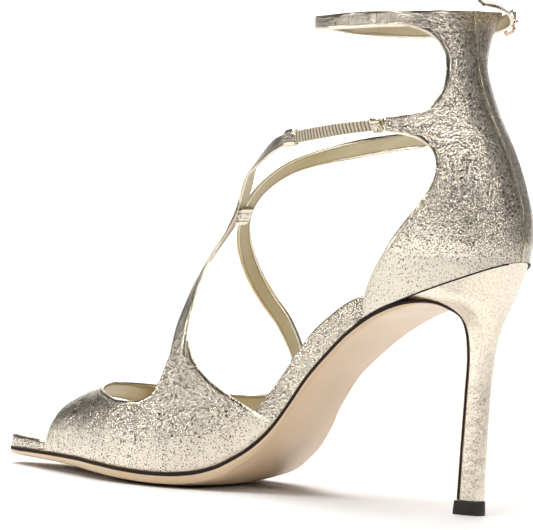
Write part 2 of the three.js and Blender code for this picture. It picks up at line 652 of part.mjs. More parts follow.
function buildUpper() {
  const [vamp, quarter] = cutSheets(wall);
  const instep = { width: instepStrapWidth, thickness: strapThickness, facing: facingInstep };
  const ankle = { width: ankleStrapWidth, thickness: strapThickness, facing: facingAnkle };
  const straps = [
    strap({ ...instep, rows: medialStrapRows, steps: 26 }),
    strap({ ...instep, rows: lateralStrapRows, steps: 32 }),
    strap({ ...ankle, rows: ankleStrapRows, steps: 42 }),
  ];
  return [quarter, ...straps, instepBinding()].reduce((whole, piece) => whole.add(piece), vamp);
}

// The footbed: an insole board and its padding, wrapped in leather, between the outsole and
// the foot. Its top is hollowed across and stands highest at the medial arch. Its rim is
// drawn in where the upper wraps it and stands nearly flush with the outsole where it is
// bare: from archBack to archFront, and from tip on.
const bedInset = wall + fitGap;
const lateralRimShare = 0.72;
const medialBare = { archBack: 0.262, archFront: 0.470, tip: 0.905 };
const lateralBare = { archBack: 0.262, archFront: 0.385, tip: 0.820 };
function rimInset(x, side) {
  const { archBack, archFront, tip } = side > 0 ? medialBare : lateralBare;
  const ease = 4;
  const past = (at) => THREE.MathUtils.smoothstep(x, station(at) - ease / 2, station(at) + ease / 2);
  const bare = Math.max(past(archBack) * (1 - past(archFront)), past(tip));
  return lerp(bedInset, fitGap, bare);
}

function buildFootbed() {
  const steps = 46;
  const rings = [];
  for (let i = 0; i <= steps; i += 1) {
    const ease = (1 - Math.cos(Math.PI * i / steps)) / 2;
    const x = lerp(heelX + bedInset + 0.05, toeX - fitGap, ease);
    const low = featherHeight(x) + fitGap;
    const sideReach = (side) => {
      const inset = rimInset(x, side);
      const nearer = clamp(x - inset * Math.sign(station(0.2) - x), heelX, toeX);
      return outline(nearer, side) - inset;
    };
    const medial = Math.max(sideReach(1), 1);
    const lateral = sideReach(-1);
    const left = Math.max(lateral, 1 - medial);
    const medialTop = featherHeight(x) + rimHeight(x);
    const lateralTop = featherHeight(x) + Math.max(bedHeight(x), rimHeight(x) * lateralRimShare);
    const middleTop = featherHeight(x) + bedHeight(x);
    const ring = [[medial, low], [medial, medialTop - 0.6], [medial - 0.5, medialTop]];
    for (const share of [0.7, 0.4, 0.1, -0.2, -0.5]) {
      const y = share > 0 ? share * medial : -share * -left;
      const toSide = Math.abs(share) ** 2 * 0.5;
      ring.push([y, lerp(middleTop, share > 0 ? medialTop : lateralTop, toSide)]);
    }
    ring.push([0.5 - left, lateralTop], [-left, lateralTop - 0.6], [-left, low]);
    ring.push([lerp(medial, -left, 0.5), low]);
    rings.push(ring.map(([y, z]) => new THREE.Vector3(x, y, z)));
  }
  const cut = cutSheets(wall + fitGap).reduce((bed, sheet) => bed.subtract(sheet), loft(rings));
  return largestBody(cut);
}

// The heel's breast, where the outsole turns down it to the top piece: forward is a share of
// the shoe's length from the heel tip, height a share of the seat's and half the half width
// as a share of the heel's width.
const breastRows = [
  { forward: 0.1230, height: 0.802, half: 0.480 },
  { forward: 0.0980, height: 0.822, half: 0.472 },
  { forward: 0.0640, height: 0.835, half: 0.456 },
  { forward: 0.0370, height: 0.832, half: 0.418 },
  { forward: 0.0190, height: 0.812, half: 0.345 },
  { forward: 0.0090, height: 0.775, half: 0.225 },
  { forward: 0.0050, height: 0.720, half: 0.165 },
  { forward: 0.0045, height: 0.620, half: 0.118 },
  { forward: 0.0075, height: 0.470, half: 0.098 },
  { forward: 0.0100, height: 0.270, half: 0.092 },
  { forward: 0.0110, height: 0.059, half: 0.094 },
];

// How thick the outsole is under its edge: crown is a share of the tread's.
const crownRows = [
  { at: 0.150, crown: 0.34 }, { at: 0.400, crown: 0.40 }, { at: 0.480, crown: 0.72 },
  { at: 0.540, crown: 1.00 }, { at: 0.720, crown: 1.00 }, { at: 0.820, crown: 0.80 },
  { at: 1.000, crown: 0.50 },
];
const crownAt = curveThrough(crownRows, 'at', 'crown', shoeLength, treadCrown, -heelSetback);
const breastStart = station(0.225);

// The line that the outsole follows, from the toe back under the arch and down the breast.
function soleLine() {
  const places = [];
  const soleSteps = 26;
  for (let i = 0; i <= soleSteps; i += 1) {
    const x = lerp(toeX, breastStart, 1 - (1 - i / soleSteps) ** 1.25);
    places.push({
      x,
      z: featherHeight(x),
      medial: outline(x, 1),
      lateral: outline(x, -1),
      edge: outsoleEdge,
      crown: crownAt(x),
    });
  }
  const turn = new THREE.CatmullRomCurve3(breastRows.map((row) => new THREE.Vector3(
    row.forward * shoeLength,
    row.half * heelWidth,
    row.height * seatHeight,
  )), false, 'centripetal');
  const turnSteps = 22;
  for (let i = 0; i <= turnSteps; i += 1) {
    const { x, y, z } = turn.getPoint(i / turnSteps);
    const thin = THREE.MathUtils.smoothstep(i, 0, 7);
    places.push({
      x,
      z,
      medial: y,
      lateral: lerp(y + 0.8, y, thin),
      edge: lerp(outsoleEdge, flapEdge, thin),
      crown: lerp(0.34 * treadCrown, flapCrown, thin),
    });
  }
  places.forEach((place, i) => {
    const before = places[Math.max(i - 1, 0)];
    const after = places[Math.min(i + 1, places.length - 1)];
    const run = Math.hypot(after.x - before.x, after.z - before.z);
    place.outX = -(after.z - before.z) / run;
    place.outZ = (after.x - before.x) / run;
  });
  return places;
}
const solePlaces = soleLine();

function buildOutsole() {
  const rings = solePlaces.map(({ x, z, medial, lateral, edge, crown, outX, outZ }, i) => {
    const last = i === solePlaces.length - 1;
    const width = medial + lateral;
    const bevel = Math.min(2.4, width * 0.22);
    const section = [[medial, 0], [medial, edge], [medial - bevel, edge + crown * 0.55],
      [lerp(medial, -lateral, 0.3), edge + crown * 0.92], [lerp(medial, -lateral, 0.5), edge + crown],
      [lerp(medial, -lateral, 0.7), edge + crown * 0.92], [bevel - lateral, edge + crown * 0.55],
      [-lateral, edge], [-lateral, 0], [lerp(medial, -lateral, 0.5), 0]];
    return section.map(([y, depth]) => {
      const downX = last ? x + depth : x + outX * depth;
      const downZ = last ? liftHeight + fitGap : z + outZ * depth;
      return new THREE.Vector3(downX, y, Math.max(downZ, 0));
    });
  });
  return loft(rings);
}

// An upright prism across the shoe from an outline in side view.
function sidePrism(points, halfAcross) {
  const shape = new THREE.Shape(points.map(([x, z]) => new THREE.Vector2(x, z)));
  const prism = new THREE.ExtrudeGeometry(shape, { depth: 2 * halfAcross, bevelEnabled: false });
  prism.rotateX(Math.PI / 2).translate(0, halfAcross, 0);
  prism.deleteAttribute('normal');
  prism.deleteAttribute('uv');
  const merged = mergeVertices(prism, 1e-4);
  const vertProperties = merged.attributes.position.array;
  const triVerts = merged.index.array;
  return new wasm.Manifold(new wasm.Mesh({ numProp: 3, vertProperties, triVerts }));
}

// The heel as level sections: height is a share of the seat's, back, middle (where it is
// widest) and front are shares of the shoe's length from the heel tip, half a share of the
// heel's width. Its seat and its breast are then cut to fit.
const heelRows = [
  { height: 0.059, back: -0.0230, middle: 0.000, front: 0.022, half: 0.094 },
  { height: 0.270, back: -0.0225, middle: 0.000, front: 0.021, half: 0.092 },
  { height: 0.470, back: -0.0228, middle: 0.000, front: 0.018, half: 0.098 },
  { height: 0.620, back: -0.0262, middle: 0.000, front: 0.016, half: 0.118 },
  { height: 0.720, back: -0.0325, middle: 0.004, front: 0.016, half: 0.168 },
  { height: 0.775, back: -0.0375, middle: 0.012, front: 0.024, half: 0.245 },
  { height: 0.812, back: -0.0410, middle: 0.024, front: 0.045, half: 0.350 },
  { height: 0.840, back: -0.0445, middle: 0.045, front: 0.110, half: 0.442 },
  { height: 0.870, back: -0.0485, middle: 0.060, front: 0.150, half: 0.478 },
  { height: 0.910, back: -0.0560, middle: 0.070, front: 0.170, half: 0.488 },
  { height: 0.960, back: -0.0640, middle: 0.075, front: 0.170, half: 0.494 },
  { height: 1.000, back: -0.0700, middle: 0.075, front: 0.170, half: 0.498 },
];
const heelCorner = 2.2;
function heelRing(z, grow = 0) {
  const back = heelAt.back(z) - grow;
  const middle = heelAt.middle(z);
  const front = heelAt.front(z);
  const half = heelAt.half(z) + grow;
  const ring = [new THREE.Vector3(front, -half, z)];
  const steps = 16;
  for (let i = 0; i <= steps; i += 1) {
    const turn = Math.PI * (i / steps - 0.5);
    const y = half * Math.sign(turn) * Math.abs(Math.sin(turn)) ** (2 / heelCorner);
    const x = middle - (middle - back) * Math.max(Math.cos(turn), 0) ** (2 / heelCorner);
    ring.push(new THREE.Vector3(x, y, z));
  }
  ring.push(new THREE.Vector3(front, half, z));
  return ring;
}
const heelColumn = (column, scale) => curveThrough(heelRows, 'height', column, seatHeight, scale);
const heelAt = {
  back: heelColumn('back', shoeLength),
  middle: heelColumn('middle', shoeLength),
  front: heelColumn('front', shoeLength),
  half: heelColumn('half', heelWidth),
};

function buildHeel() {
  const rings = [];
  const steps = 22;
  for (let i = 0; i <= steps; i += 1) {
    const share = 1 - (1 - i / steps) ** 1.7;
    rings.push(heelRing(lerp(liftHeight + fitGap, seatHeight + 0.5, share)));
  }
  const seat = [];
  for (let i = 0; i <= 24; i += 1) {
    const x = lerp(heelX, station(0.27), i / 24);
    seat.push([x, featherHeight(x)]);
  }
  const belowSeat = sidePrism([...seat, [station(0.27), 0], [heelX - 20, 0], [heelX - 20, seatHeight]], 60);
  const breast = solePlaces.filter((place) => place.x < station(0.28))
    .map(({ x, z, outX, outZ }) => [x - outX * fitGap, z - outZ * fitGap]);
  const beforeBreast = sidePrism([...breast, [breast.at(-1)[0], -5], [station(0.28), -5]], 60);
  return loft(rings).intersect(belowSeat).subtract(beforeBreast);
}

// The top piece under the heel and the end of the outsole's turned-down flap.
function buildTopLift() {
  const front = breastRows.at(-1).forward * shoeLength + flapEdge + flapCrown;
  const levels = [[0, 0.55], [0.5, 0.75], [liftHeight - 0.4, liftGrow], [liftHeight, liftGrow - 0.2]];
  return loft(levels.map(([z, grow]) => heelRing(breastRows.at(-1).height * seatHeight, grow)
    .map(({ x, y }) => new THREE.Vector3(x > 2 ? front + grow : x, y, z))));
}

// A sleeve round the end of one strap and the start of the next, with room for both.
function sleeve(rows, facing, thickness) {
  const common = { rows, facing, steps: 3 };
  const outside = thickness + 2 * (sleeveRoom + sleeveWall);
  const outer = strap({ ...common, width: sleeveWidth, thickness: outside });
  const spine = new THREE.CatmullRomCurve3(rows.map((row) => row.point));
  const longer = [-0.3, 0, 1, 1.3].map((t) => ({
    point: t < 0 || t > 1
      ? spine.getPoint(clamp(t, 0, 1)).addScaledVector(spine.getTangent(clamp(t, 0, 1)), Math.sign(t) * 1.5)
      : spine.getPoint(t),
  }));
  const inner = strap({
    ...common,
    rows: longer,
    width: sleeveWidth - 1.4,
    thickness: thickness + 2 * sleeveRoom,
  });
  return outer.subtract(inner);
}

// The elastic's two leather sleeves lie along its own line.
const elasticSpine = new THREE.CatmullRomCurve3(elasticRows.map((row) => row.point), false, 'centripetal');
const elasticStretch = (from, to) => [from, to].map((share) => {
  const t = clamp(share, 0, 1);
  const beyond = (share - t) * elasticSpine.getLength();
  return { point: elasticSpine.getPoint(t).addScaledVector(elasticSpine.getTangent(t), beyond) };
});

function elasticSleeve(from, to) {
  return sleeve(elasticStretch(from, to), facingInstep, strapThickness);
}

// Where the buckle sits: a place on the ankle strap, the strap's way there and its outside.
const buckleShare = 0.785;
function ankleFrame(share) {
  const spine = new THREE.CatmullRomCurve3(ankleStrapRows.map((row) => row.point), false, 'centripetal');
  const centre = spine.getPoint(share);
  const along = spine.getTangent(share);
  const out = facingAnkle(centre);
  out.addScaledVector(along, -out.dot(along)).normalize();
  return { centre, along, out, across: along.clone().cross(out) };
}

// A round wire along a line of points, closed on itself or with flat ends.
function wire(points, thickness, sides, closed) {
  const rings = points.map((point, i) => {
    const wrap = (k) => points[(k + points.length) % points.length];
    const before = closed ? wrap(i - 1) : points[Math.max(i - 1, 0)];
    const after = closed ? wrap(i + 1) : points[Math.min(i + 1, points.length - 1)];
    const along = after.clone().sub(before).normalize();
    const out = buckle.out.clone().addScaledVector(along, -buckle.out.dot(along)).normalize();
    const across = along.clone().cross(out);
    const ring = [];
    for (let k = 0; k < sides; k += 1) {
      const turn = 2 * Math.PI * k / sides;
      ring.push(point.clone().addScaledVector(across, Math.cos(turn) * thickness / 2)
        .addScaledVector(out, Math.sin(turn) * thickness / 2));
    }
    return ring;
  });
  return loft(rings, closed);
}

const buckle = ankleFrame(buckleShare);
const buckleLift = strapThickness / 2 + fitGap + buckleWire / 2;
const onBuckle = (along, across, out) => buckle.centre.clone().addScaledVector(buckle.along, along)
  .addScaledVector(buckle.across, across).addScaledVector(buckle.out, out);

function buildBuckleFrame() {
  const halfLong = (buckleLength - buckleWire) / 2;
  const halfTall = (buckleHeight - buckleWire) / 2;
  const corner = 1.6;
  const points = [];
  [[1, 1, 0], [-1, 1, 90], [-1, -1, 180], [1, -1, 270]].forEach(([alongSide, acrossSide, start]) => {
    for (let k = 0; k <= 4; k += 1) {
      const turn = THREE.MathUtils.degToRad(start + k * 22.5);
      points.push(onBuckle(
        alongSide * (halfLong - corner) + corner * Math.cos(turn),
        acrossSide * (halfTall - corner) + corner * Math.sin(turn),
        buckleLift,
      ));
    }
  });
  return wire(points, buckleWire, 6, true);
}

function buildProng() {
  const reach = buckleLength / 2;
  const over = buckleLift + buckleWire / 2 + fitGap + prongWire / 2;
  const line = [[-reach - 0.2, over - 0.5], [-reach + 0.6, over + 0.1], [-reach + 2, over],
    [0, over - 0.35], [reach - 1.6, over], [reach + 0.1, over + 0.05], [reach + 0.7, over - 0.3]];
  const spine = new THREE.CatmullRomCurve3(line.map(([along, out]) => onBuckle(along, 0, out)));
  return wire(spine.getPoints(12), prongWire, 6, false);
}

function finish(name, solid, { color, roughness, metalness }) {
  const mesh = solid.getMesh();
  const geometry = new THREE.BufferGeometry();
  const positions = new Float32Array(mesh.numVert * 3);
  for (let i = 0; i < mesh.numVert; i += 1) {
    for (let k = 0; k < 3; k += 1) positions[3 * i + k] = mesh.vertProperties[mesh.numProp * i + k];
  }
  geometry.setAttribute('position', new THREE.BufferAttribute(positions, 3));
  geometry.setIndex(new THREE.BufferAttribute(new Uint32Array(mesh.triVerts), 1));
  geometry.computeVertexNormals();
  const material = new THREE.MeshStandardMaterial({ color, roughness, metalness });
  const made = new THREE.Mesh(geometry, material);
  made.name = name;
  return made;
}

const foiledNappa = { color: '#cbbda6', roughness: 0.42, metalness: 0.45 };
const beigeLining = { color: '#e3d5b4', roughness: 0.6, metalness: 0.1 };
const nudeSoleLeather = { color: '#ddc9b0', roughness: 0.45, metalness: 0 };
const blackTopPiece = { color: '#3f3a35', roughness: 0.6, metalness: 0 };
const roseGold = { color: '#d9a78c', roughness: 0.25, metalness: 0.9 };
const ribbedElastic = { color: '#d8c9ae', roughness: 0.6, metalness: 0.25 };

const sandal = new THREE.Group();
const elasticBand = strap({
  rows: elasticRows,
  width: elasticWidth,
  thickness: elasticThickness,
  facing: facingInstep,
  steps: 9,
});
sandal.add(
  finish('outsole', buildOutsole(), nudeSoleLeather),
  finish('footbed', buildFootbed(), beigeLining),
  finish('heel', buildHeel(), foiledNappa),
  finish('top_lift', buildTopLift(), blackTopPiece),
  finish('upper', buildUpper(), foiledNappa),
  finish('elastic', elasticBand, ribbedElastic),
  finish('elastic_sleeve_front', elasticSleeve(-0.05, 0.09), foiledNappa),
  finish('elastic_sleeve_rear', elasticSleeve(0.92, 1.015), foiledNappa),
  finish('buckle_frame', buildBuckleFrame(), roseGold),
  finish('buckle_prong', buildProng(), roseGold),
);

export default sandal;
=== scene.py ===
import math

import bmesh
import bpy
import numpy as np
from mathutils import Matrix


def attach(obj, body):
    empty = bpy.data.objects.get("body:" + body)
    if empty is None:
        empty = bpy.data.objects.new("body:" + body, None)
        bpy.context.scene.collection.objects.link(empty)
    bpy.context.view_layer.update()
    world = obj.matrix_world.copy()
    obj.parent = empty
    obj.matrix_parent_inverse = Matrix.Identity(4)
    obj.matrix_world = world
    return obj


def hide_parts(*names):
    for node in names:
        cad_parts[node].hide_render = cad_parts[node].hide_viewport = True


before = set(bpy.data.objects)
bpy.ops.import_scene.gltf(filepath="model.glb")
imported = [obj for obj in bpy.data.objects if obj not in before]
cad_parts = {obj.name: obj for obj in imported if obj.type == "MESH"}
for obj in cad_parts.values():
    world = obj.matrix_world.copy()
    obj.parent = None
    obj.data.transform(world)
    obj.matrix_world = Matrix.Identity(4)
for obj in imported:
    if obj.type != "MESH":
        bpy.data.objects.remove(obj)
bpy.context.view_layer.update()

# The stage: a pale paper floor that curves up into a wall at the back and the sides, lit by
# softboxes. In front the paper ends flat, and the counter's top reflects the dim room beyond.
# The camera stands low behind the inner side of the shoe, with a long lens, rolled a little.
MM = 0.001


def linear(sheet_hex):
    """An sRGB hex colour as linear red, green, blue and alpha."""
    parts = [int(sheet_hex[i:i + 2], 16) / 255 for i in (1, 3, 5)]
    return [c / 12.92 if c <= 0.04045 else ((c + 0.055) / 1.055) ** 2.4 for c in parts] + [1]


def unit(a):
    """Vectors scaled to length one."""
    return a / np.linalg.norm(a, axis=-1, keepdims=True)


def joined(*columns):
    """Columns side by side along a last axis, repeated where one has fewer rows."""
    return np.stack(np.broadcast_arrays(*columns), axis=-1)


def full_turn(count):
    """Equal steps once round, in radians."""
    return np.linspace(0, 2 * math.pi, count, endpoint=False)


def add_node(tree, kind, settings=None, **inputs):
    """Adds a shader node, sets its own settings, and gives its inputs, by name or by number as
    in i6, a value or another node's output."""
    made = tree.nodes.new("ShaderNode" + kind)
    for name, value in (settings or {}).items():
        setattr(made, name, value)
    for name, value in inputs.items():
        at = int(name[1:]) if name[0] == "i" and name[1:].isdigit() else name.replace("_", " ")
        if isinstance(value, bpy.types.NodeSocket):
            tree.links.new(value, made.inputs[at])
        else:
            made.inputs[at].default_value = value
    return made


def new_material(name, **values):
    """A material with its shader's plain values, and the object's own coordinates."""
    made = bpy.data.materials.new(name)
    made.use_nodes = True
    tree = made.node_tree
    shader = tree.nodes["Principled BSDF"]
    for socket, value in values.items():
        shader.inputs[socket.replace("_", " ")].default_value = value
    return made, tree, shader, add_node(tree, "TexCoord").outputs["Object"]


def grid_faces(rows, columns, close_rows=False, close_columns=False):
    """Four-cornered faces between neighbours of a grid of points, numbered row by row."""
    i = np.arange(rows if close_rows else rows - 1)[:, None]
    j = np.arange(columns if close_columns else columns - 1)[None, :]
    after_i, after_j = (i + 1) % rows, (j + 1) % columns
    corners = [i * columns + j, after_i * columns + j, after_i * columns + after_j, i * columns + after_j]
    return np.stack([c + 0 * i + 0 * j for c in corners], axis=-1).reshape(-1, 4)


def make_piece(name, points, faces, materials, slots=None):
    """A smooth-shaded object from points in millimetres and faces, at the origin."""
    mesh = bpy.data.meshes.new(name)
    places = (np.asarray(points).reshape(-1, 3) * MM).tolist()
    mesh.from_pydata(places, [], [list(map(int, f)) for f in faces])
    for material in materials:
        mesh.materials.append(material)
    if slots is not None:
        mesh.polygons.foreach_set("material_index", np.asarray(slots, dtype=np.int32))
    mesh.polygons.foreach_set("use_smooth", np.ones(len(mesh.polygons), dtype=bool))
    mesh.update()
    made = bpy.data.objects.new(name, mesh)
    bpy.context.scene.collection.objects.link(made)
    return made


paper, *_ = new_material("matt_white_background_paper", Base_Color=linear("#DAD9D8"), Roughness=0.95)
FLOOR_REACH, WALL_REACH, FRONT_REACH, BEND_HEIGHT, WALL_HEIGHT = 3200, 4200, 2500, 900, 2600
# shares of the paper's run where the floor and the bend end
FLOOR_END, BEND_END = 0.5, 0.8


def smooth_step(value, low, high):
    """0 below low, 1 above high, and a smooth S between."""
    t = np.clip((value - low) / (high - low), 0, 1)
    return t * t * (3 - 2 * t)


def sweep_profile(t):
    """Distance out and height along the paper: flat floor, a quarter ellipse, then a wall."""
    turn = np.clip((t - FLOOR_END) / (BEND_END - FLOOR_END), 0, 1) * math.pi / 2
    out = FLOOR_REACH * np.minimum(t / FLOOR_END, 1) + (WALL_REACH - FLOOR_REACH) * np.sin(turn)
    wall = np.clip((t - BEND_END) / (1 - BEND_END), 0, 1) * (WALL_HEIGHT - BEND_HEIGHT)
    return out, BEND_HEIGHT * (1 - np.cos(turn)) + wall


sweep_t = np.concatenate([[1e-4], np.linspace(0.1, 1, 40)])
sweep_turn = full_turn(96)
sweep_out, sweep_up = sweep_profile(sweep_t)
sweep_front = smooth_step(np.sin(sweep_turn), 0, 0.45)
sweep_out = sweep_out[:, None] * (1 - (1 - FRONT_REACH / WALL_REACH) * sweep_front)
sweep_points = joined(sweep_out * np.cos(sweep_turn), sweep_out * np.sin(sweep_turn),
                      sweep_up[:, None] * (1 - sweep_front))
sweep = make_piece("paper_sweep", sweep_points,
                   grid_faces(len(sweep_t), len(sweep_turn), close_columns=True), [paper])


def set_up(thing, side, up, back, place):
    """Puts the camera or a lamp at a place in metres, looking away from its back."""
    bpy.context.scene.collection.objects.link(thing)
    pose = np.eye(4)
    pose[:3] = joined(side, up, back, place)
    thing.matrix_world = pose.T.tolist()


camera_azimuth, camera_pitch, camera_roll = np.radians([32, 2.8, 3.3])
camera_place = np.array([-879.4, 1565.2, 179.1])
FOCAL_PX, FRAME_PX, SENSOR_WIDTH = 4680, 533, 36
level = np.array([math.sin(camera_azimuth), -math.cos(camera_azimuth), 0])
ahead = level * math.cos(camera_pitch) - np.array([0, 0, math.sin(camera_pitch)])
plain_right = np.array([-math.cos(camera_azimuth), -math.sin(camera_azimuth), 0])
plain_up = np.cross(plain_right, ahead)
right = plain_right * math.cos(camera_roll) + plain_up * math.sin(camera_roll)
upward = plain_up * math.cos(camera_roll) - plain_right * math.sin(camera_roll)
camera_data = bpy.data.cameras.new("camera")
camera_data.sensor_width = SENSOR_WIDTH
camera_data.lens = SENSOR_WIDTH * FOCAL_PX / FRAME_PX
camera_data.clip_end = 20
camera = bpy.data.objects.new("camera", camera_data)
set_up(camera, right, upward, -ahead, camera_place * MM)
bpy.context.scene.camera = camera

world = bpy.data.worlds.new("dim_room")
world.use_nodes = True
room = world.node_tree.nodes["Background"].inputs
room["Color"].default_value = linear("#F2F4F8")
room["Strength"].default_value = 0.012
bpy.context.scene.world = world
bpy.context.scene.view_settings.view_transform = "Standard"


def add_softbox(name, place, aim, size, power, spread):
    """A square area light with a grid, at a place and turned to its aim, both in metres."""
    data = bpy.data.lights.new(name, "AREA")
    data.size = size
    data.energy = power
    data.spread = math.radians(spread)
    back = unit(np.array(place) - np.array(aim))
    side = unit(np.cross([0, 0, 1], back)) if abs(back[2]) < 0.99 else np.array([1.0, 0, 0])
    set_up(bpy.data.objects.new(name, data), side, np.cross(back, side), back, place)


shoe_middle = (0.09, 0, 0.09)
add_softbox("softbox_over", (0.1, 0.05, 1.7), (0.05, 0.1, 0), 2.0, 12, 75)
add_softbox("floor_light_front", (0.6, 1.1, 1.9), (0.6, 1.1, 0), 1.0, 14, 80)
add_softbox("floor_light_behind", (1.1, -1.6, 2.0), (1.0, -1.5, 0), 1.8, 42, 120)
add_softbox("strip_toe_side", (1.5, 1.5, 0.7), shoe_middle, 0.18, 0.35, 50)
add_softbox("strip_heel_side", (-1.7, 0.2, 0.9), shoe_middle, 0.2, 0.45, 50)
add_softbox("strip_front", (-0.35, 2.1, 1.3), shoe_middle, 0.2, 0.55, 50)
add_softbox("backdrop_light", (1.2, -1.9, 2.0), (2.1, -3.8, 0.5), 1.6, 50, 90)

# The last: the shoe is built over it, so its sizes and its outline serve every piece. The
# bottom's outline and the heel's and foot's sections are shares of the last's main sizes.
# It leaves nothing on the finished shoe.
SHOE_LENGTH, HEEL_SETBACK, SEAT_HEIGHT, BALL_WIDTH = 227, 16, 98.3, 72.5
COLLAR_HEIGHT, HEEL_WIDTH, INSTEP_HEIGHT = 193.5, 51, 113
WALL, FIT_GAP = 1.3, 0.3


def thousandths(*rows):
    """A table whose numbers are written in thousandths."""
    return np.array(rows) / 1000


# at, rise, medial, lateral, rim, bed, as in the plan of the last's bottom
SOLE = thousandths(
    (0, 1000, 20, 20, 65, 45), (59, 936, 300, 300, 65, 45), (119, 877, 345, 355, 65, 48),
    (167, 830, 338, 358, 68, 50), (220, 777, 312, 356, 80, 56), (286, 680, 265, 342, 122, 72),
    (326, 595, 243, 316, 145, 82), (366, 495, 229, 296, 162, 88), (401, 376, 230, 310, 165, 92),
    (434, 266, 243, 372, 158, 82), (465, 190, 270, 430, 128, 68), (491, 143, 305, 462, 96, 58),
    (520, 100, 357, 485, 68, 48), (555, 73, 419, 496, 52, 40), (590, 63, 473, 498, 45, 38),
    (630, 61, 498, 497, 42, 37), (678, 65, 503, 488, 42, 37), (740, 73, 462, 448, 42, 37),
    (802, 78, 386, 370, 42, 37), (872, 77, 297, 245, 43, 37), (940, 73, 206, 110, 47, 40),
    (985, 71, 147, 30, 50, 44), (1000, 71, 112, -10, 50, 46))
# height, back, reach, front, medial, lateral, square, flare
COUNTER = np.array([
    (0.36, -0.0705, 0.145, 0.225, 0.49, 0.51, 2.2, 0),
    (0.508, -0.0705, 0.145, 0.225, 0.49, 0.51, 2.2, 0),
    (0.548, -0.0735, 0.154, 0.222, 0.53, 0.54, 2.2, 0),
    (0.59, -0.0705, 0.158, 0.22, 0.552, 0.558, 2.2, 0),
    (0.646, -0.0575, 0.16, 0.212, 0.558, 0.56, 2.2, 0),
    (0.724, -0.03, 0.158, 0.195, 0.548, 0.55, 2.2, 0),
    (0.806, 0.0085, 0.15, 0.168, 0.53, 0.532, 2.2, 0),
    (0.884, 0.034, 0.145, 0.155, 0.53, 0.532, 2.2, 0),
    (0.93, 0.04, 0.145, 0.152, 0.55, 0.555, 2.4, 0.015),
    (1, 0.052, 0.143, 0.149, 0.57, 0.6, 3.5, 0.08)])
# at, rise, shift of the ridge over the toes and the instep
RIDGE = thousandths(
    (380, 1600, 0), (510, 1170, 0), (555, 990, 10), (600, 810, 20), (645, 640, 40),
    (690, 500, 60), (735, 400, 80), (780, 334, 90), (815, 300, 90), (855, 262, 80),
    (890, 212, 70), (920, 160, 60), (1000, 110, 50))


def through(rows, value_column, place_scale=1, value_scale=1, place_shift=0):
    """A smooth curve through rows, by their first column, that never overshoots: each span is
    a cubic, and its slope at a row is the weighted harmonic mean of the slopes beside it."""
    x = rows[:, 0] * place_scale + place_shift
    y = rows[:, value_column] * value_scale
    span = np.diff(x)
    slope = np.diff(y) / span
    before, after = slope[:-1], slope[1:]
    heavy, light = 2 * span[1:] + span[:-1], span[1:] + 2 * span[:-1]
    same = before * after > 0
    safe_before, safe_after = np.where(same, before, 1), np.where(same, after, 1)
    inner = np.where(same, (heavy + light) / (heavy / safe_before + light / safe_after), 0)
    tangent = np.concatenate([[slope[0]], inner, [slope[-1]]])

    def curve(value):
        at = np.clip(value, x[0], x[-1])
        i = np.clip(np.searchsorted(x, at) - 1, 0, len(x) - 2)
        t = (at - x[i]) / span[i]
        flat = 1 - t
        return (y[i] * flat ** 2 * (1 + 2 * t) + y[i + 1] * t ** 2 * (3 - 2 * t)
                + tangent[i] * span[i] * t * flat ** 2 - tangent[i + 1] * span[i] * t ** 2 * flat)
    return curve


def along_shoe(rows, column, scale):
    """A curve over places along the shoe, from shares of its length."""
    return through(rows, column, SHOE_LENGTH, scale, -HEEL_SETBACK)


def station(share):
    """A share of the shoe's length as a place along it."""
    return share * SHOE_LENGTH - HEEL_SETBACK


feather_height, medial_half, lateral_half, rim_height, bed_height = (
    along_shoe(SOLE, column, scale) for column, scale in
    ((1, SEAT_HEIGHT), (2, BALL_WIDTH), (3, BALL_WIDTH), (4, SEAT_HEIGHT), (5, SEAT_HEIGHT)))
(counter_back, counter_reach, counter_front, counter_medial, counter_lateral, counter_square,
 counter_flare) = (
    through(COUNTER, column, COLLAR_HEIGHT, scale) for column, scale in
    ((1, SHOE_LENGTH), (2, SHOE_LENGTH), (3, SHOE_LENGTH), (4, HEEL_WIDTH), (5, HEEL_WIDTH), (6, 1),
     (7, HEEL_WIDTH)))
ridge_height = along_shoe(RIDGE, 1, INSTEP_HEIGHT)
ridge_shift = along_shoe(RIDGE, 2, BALL_WIDTH)
ROUND_CORNER = 2.2


def counter_half(x, z, medial):
    """Half width of the counter's level section, a squared half ellipse, at a place along."""
    middle = counter_back(z) + counter_reach(z)
    half = np.where(medial, counter_medial(z), counter_lateral(z))
    behind = x < middle
    share = np.clip(np.abs(x - middle) / np.where(behind, counter_reach(z), counter_front(z)), 0, 1)
    power = np.where(behind, np.where(medial, ROUND_CORNER, counter_square(z)), 2)
    return half * (1 - share ** power) ** (1 / power)


def outline(x, medial):
    """The last's half width in plan: the counter's foot at the heel, then the table."""
    t = smooth_step(x, station(0.15), station(0.22))
    table = np.where(medial, medial_half(x), lateral_half(x))
    return (1 - t) * counter_half(x, feather_height(x), medial) + t * table


ARCH_FULLNESS, SIDE_BULGE = 0.82, 1.6


def vamp_surface(x, across):
    """Outside of the vamp: upright sections, each a squared half ellipse from the lateral
    feather line (across -1) over the ridge (0) to the medial one (+1)."""
    medial = across >= 0
    side = np.where(medial, 1, -1)
    turn = np.maximum(1 - np.abs(across), 0) * math.pi / 2
    foot = feather_height(x) + FIT_GAP
    ridge = ridge_shift(x)
    out = np.cos(turn) ** ARCH_FULLNESS
    y = ridge + (side * outline(x, medial) - ridge) * out + side * SIDE_BULGE * np.sin(2 * turn)
    return joined(x, y, foot + (ridge_height(x) - foot) * np.sin(turn) ** ARCH_FULLNESS)


COUNTER_SWEEP = math.radians(152)


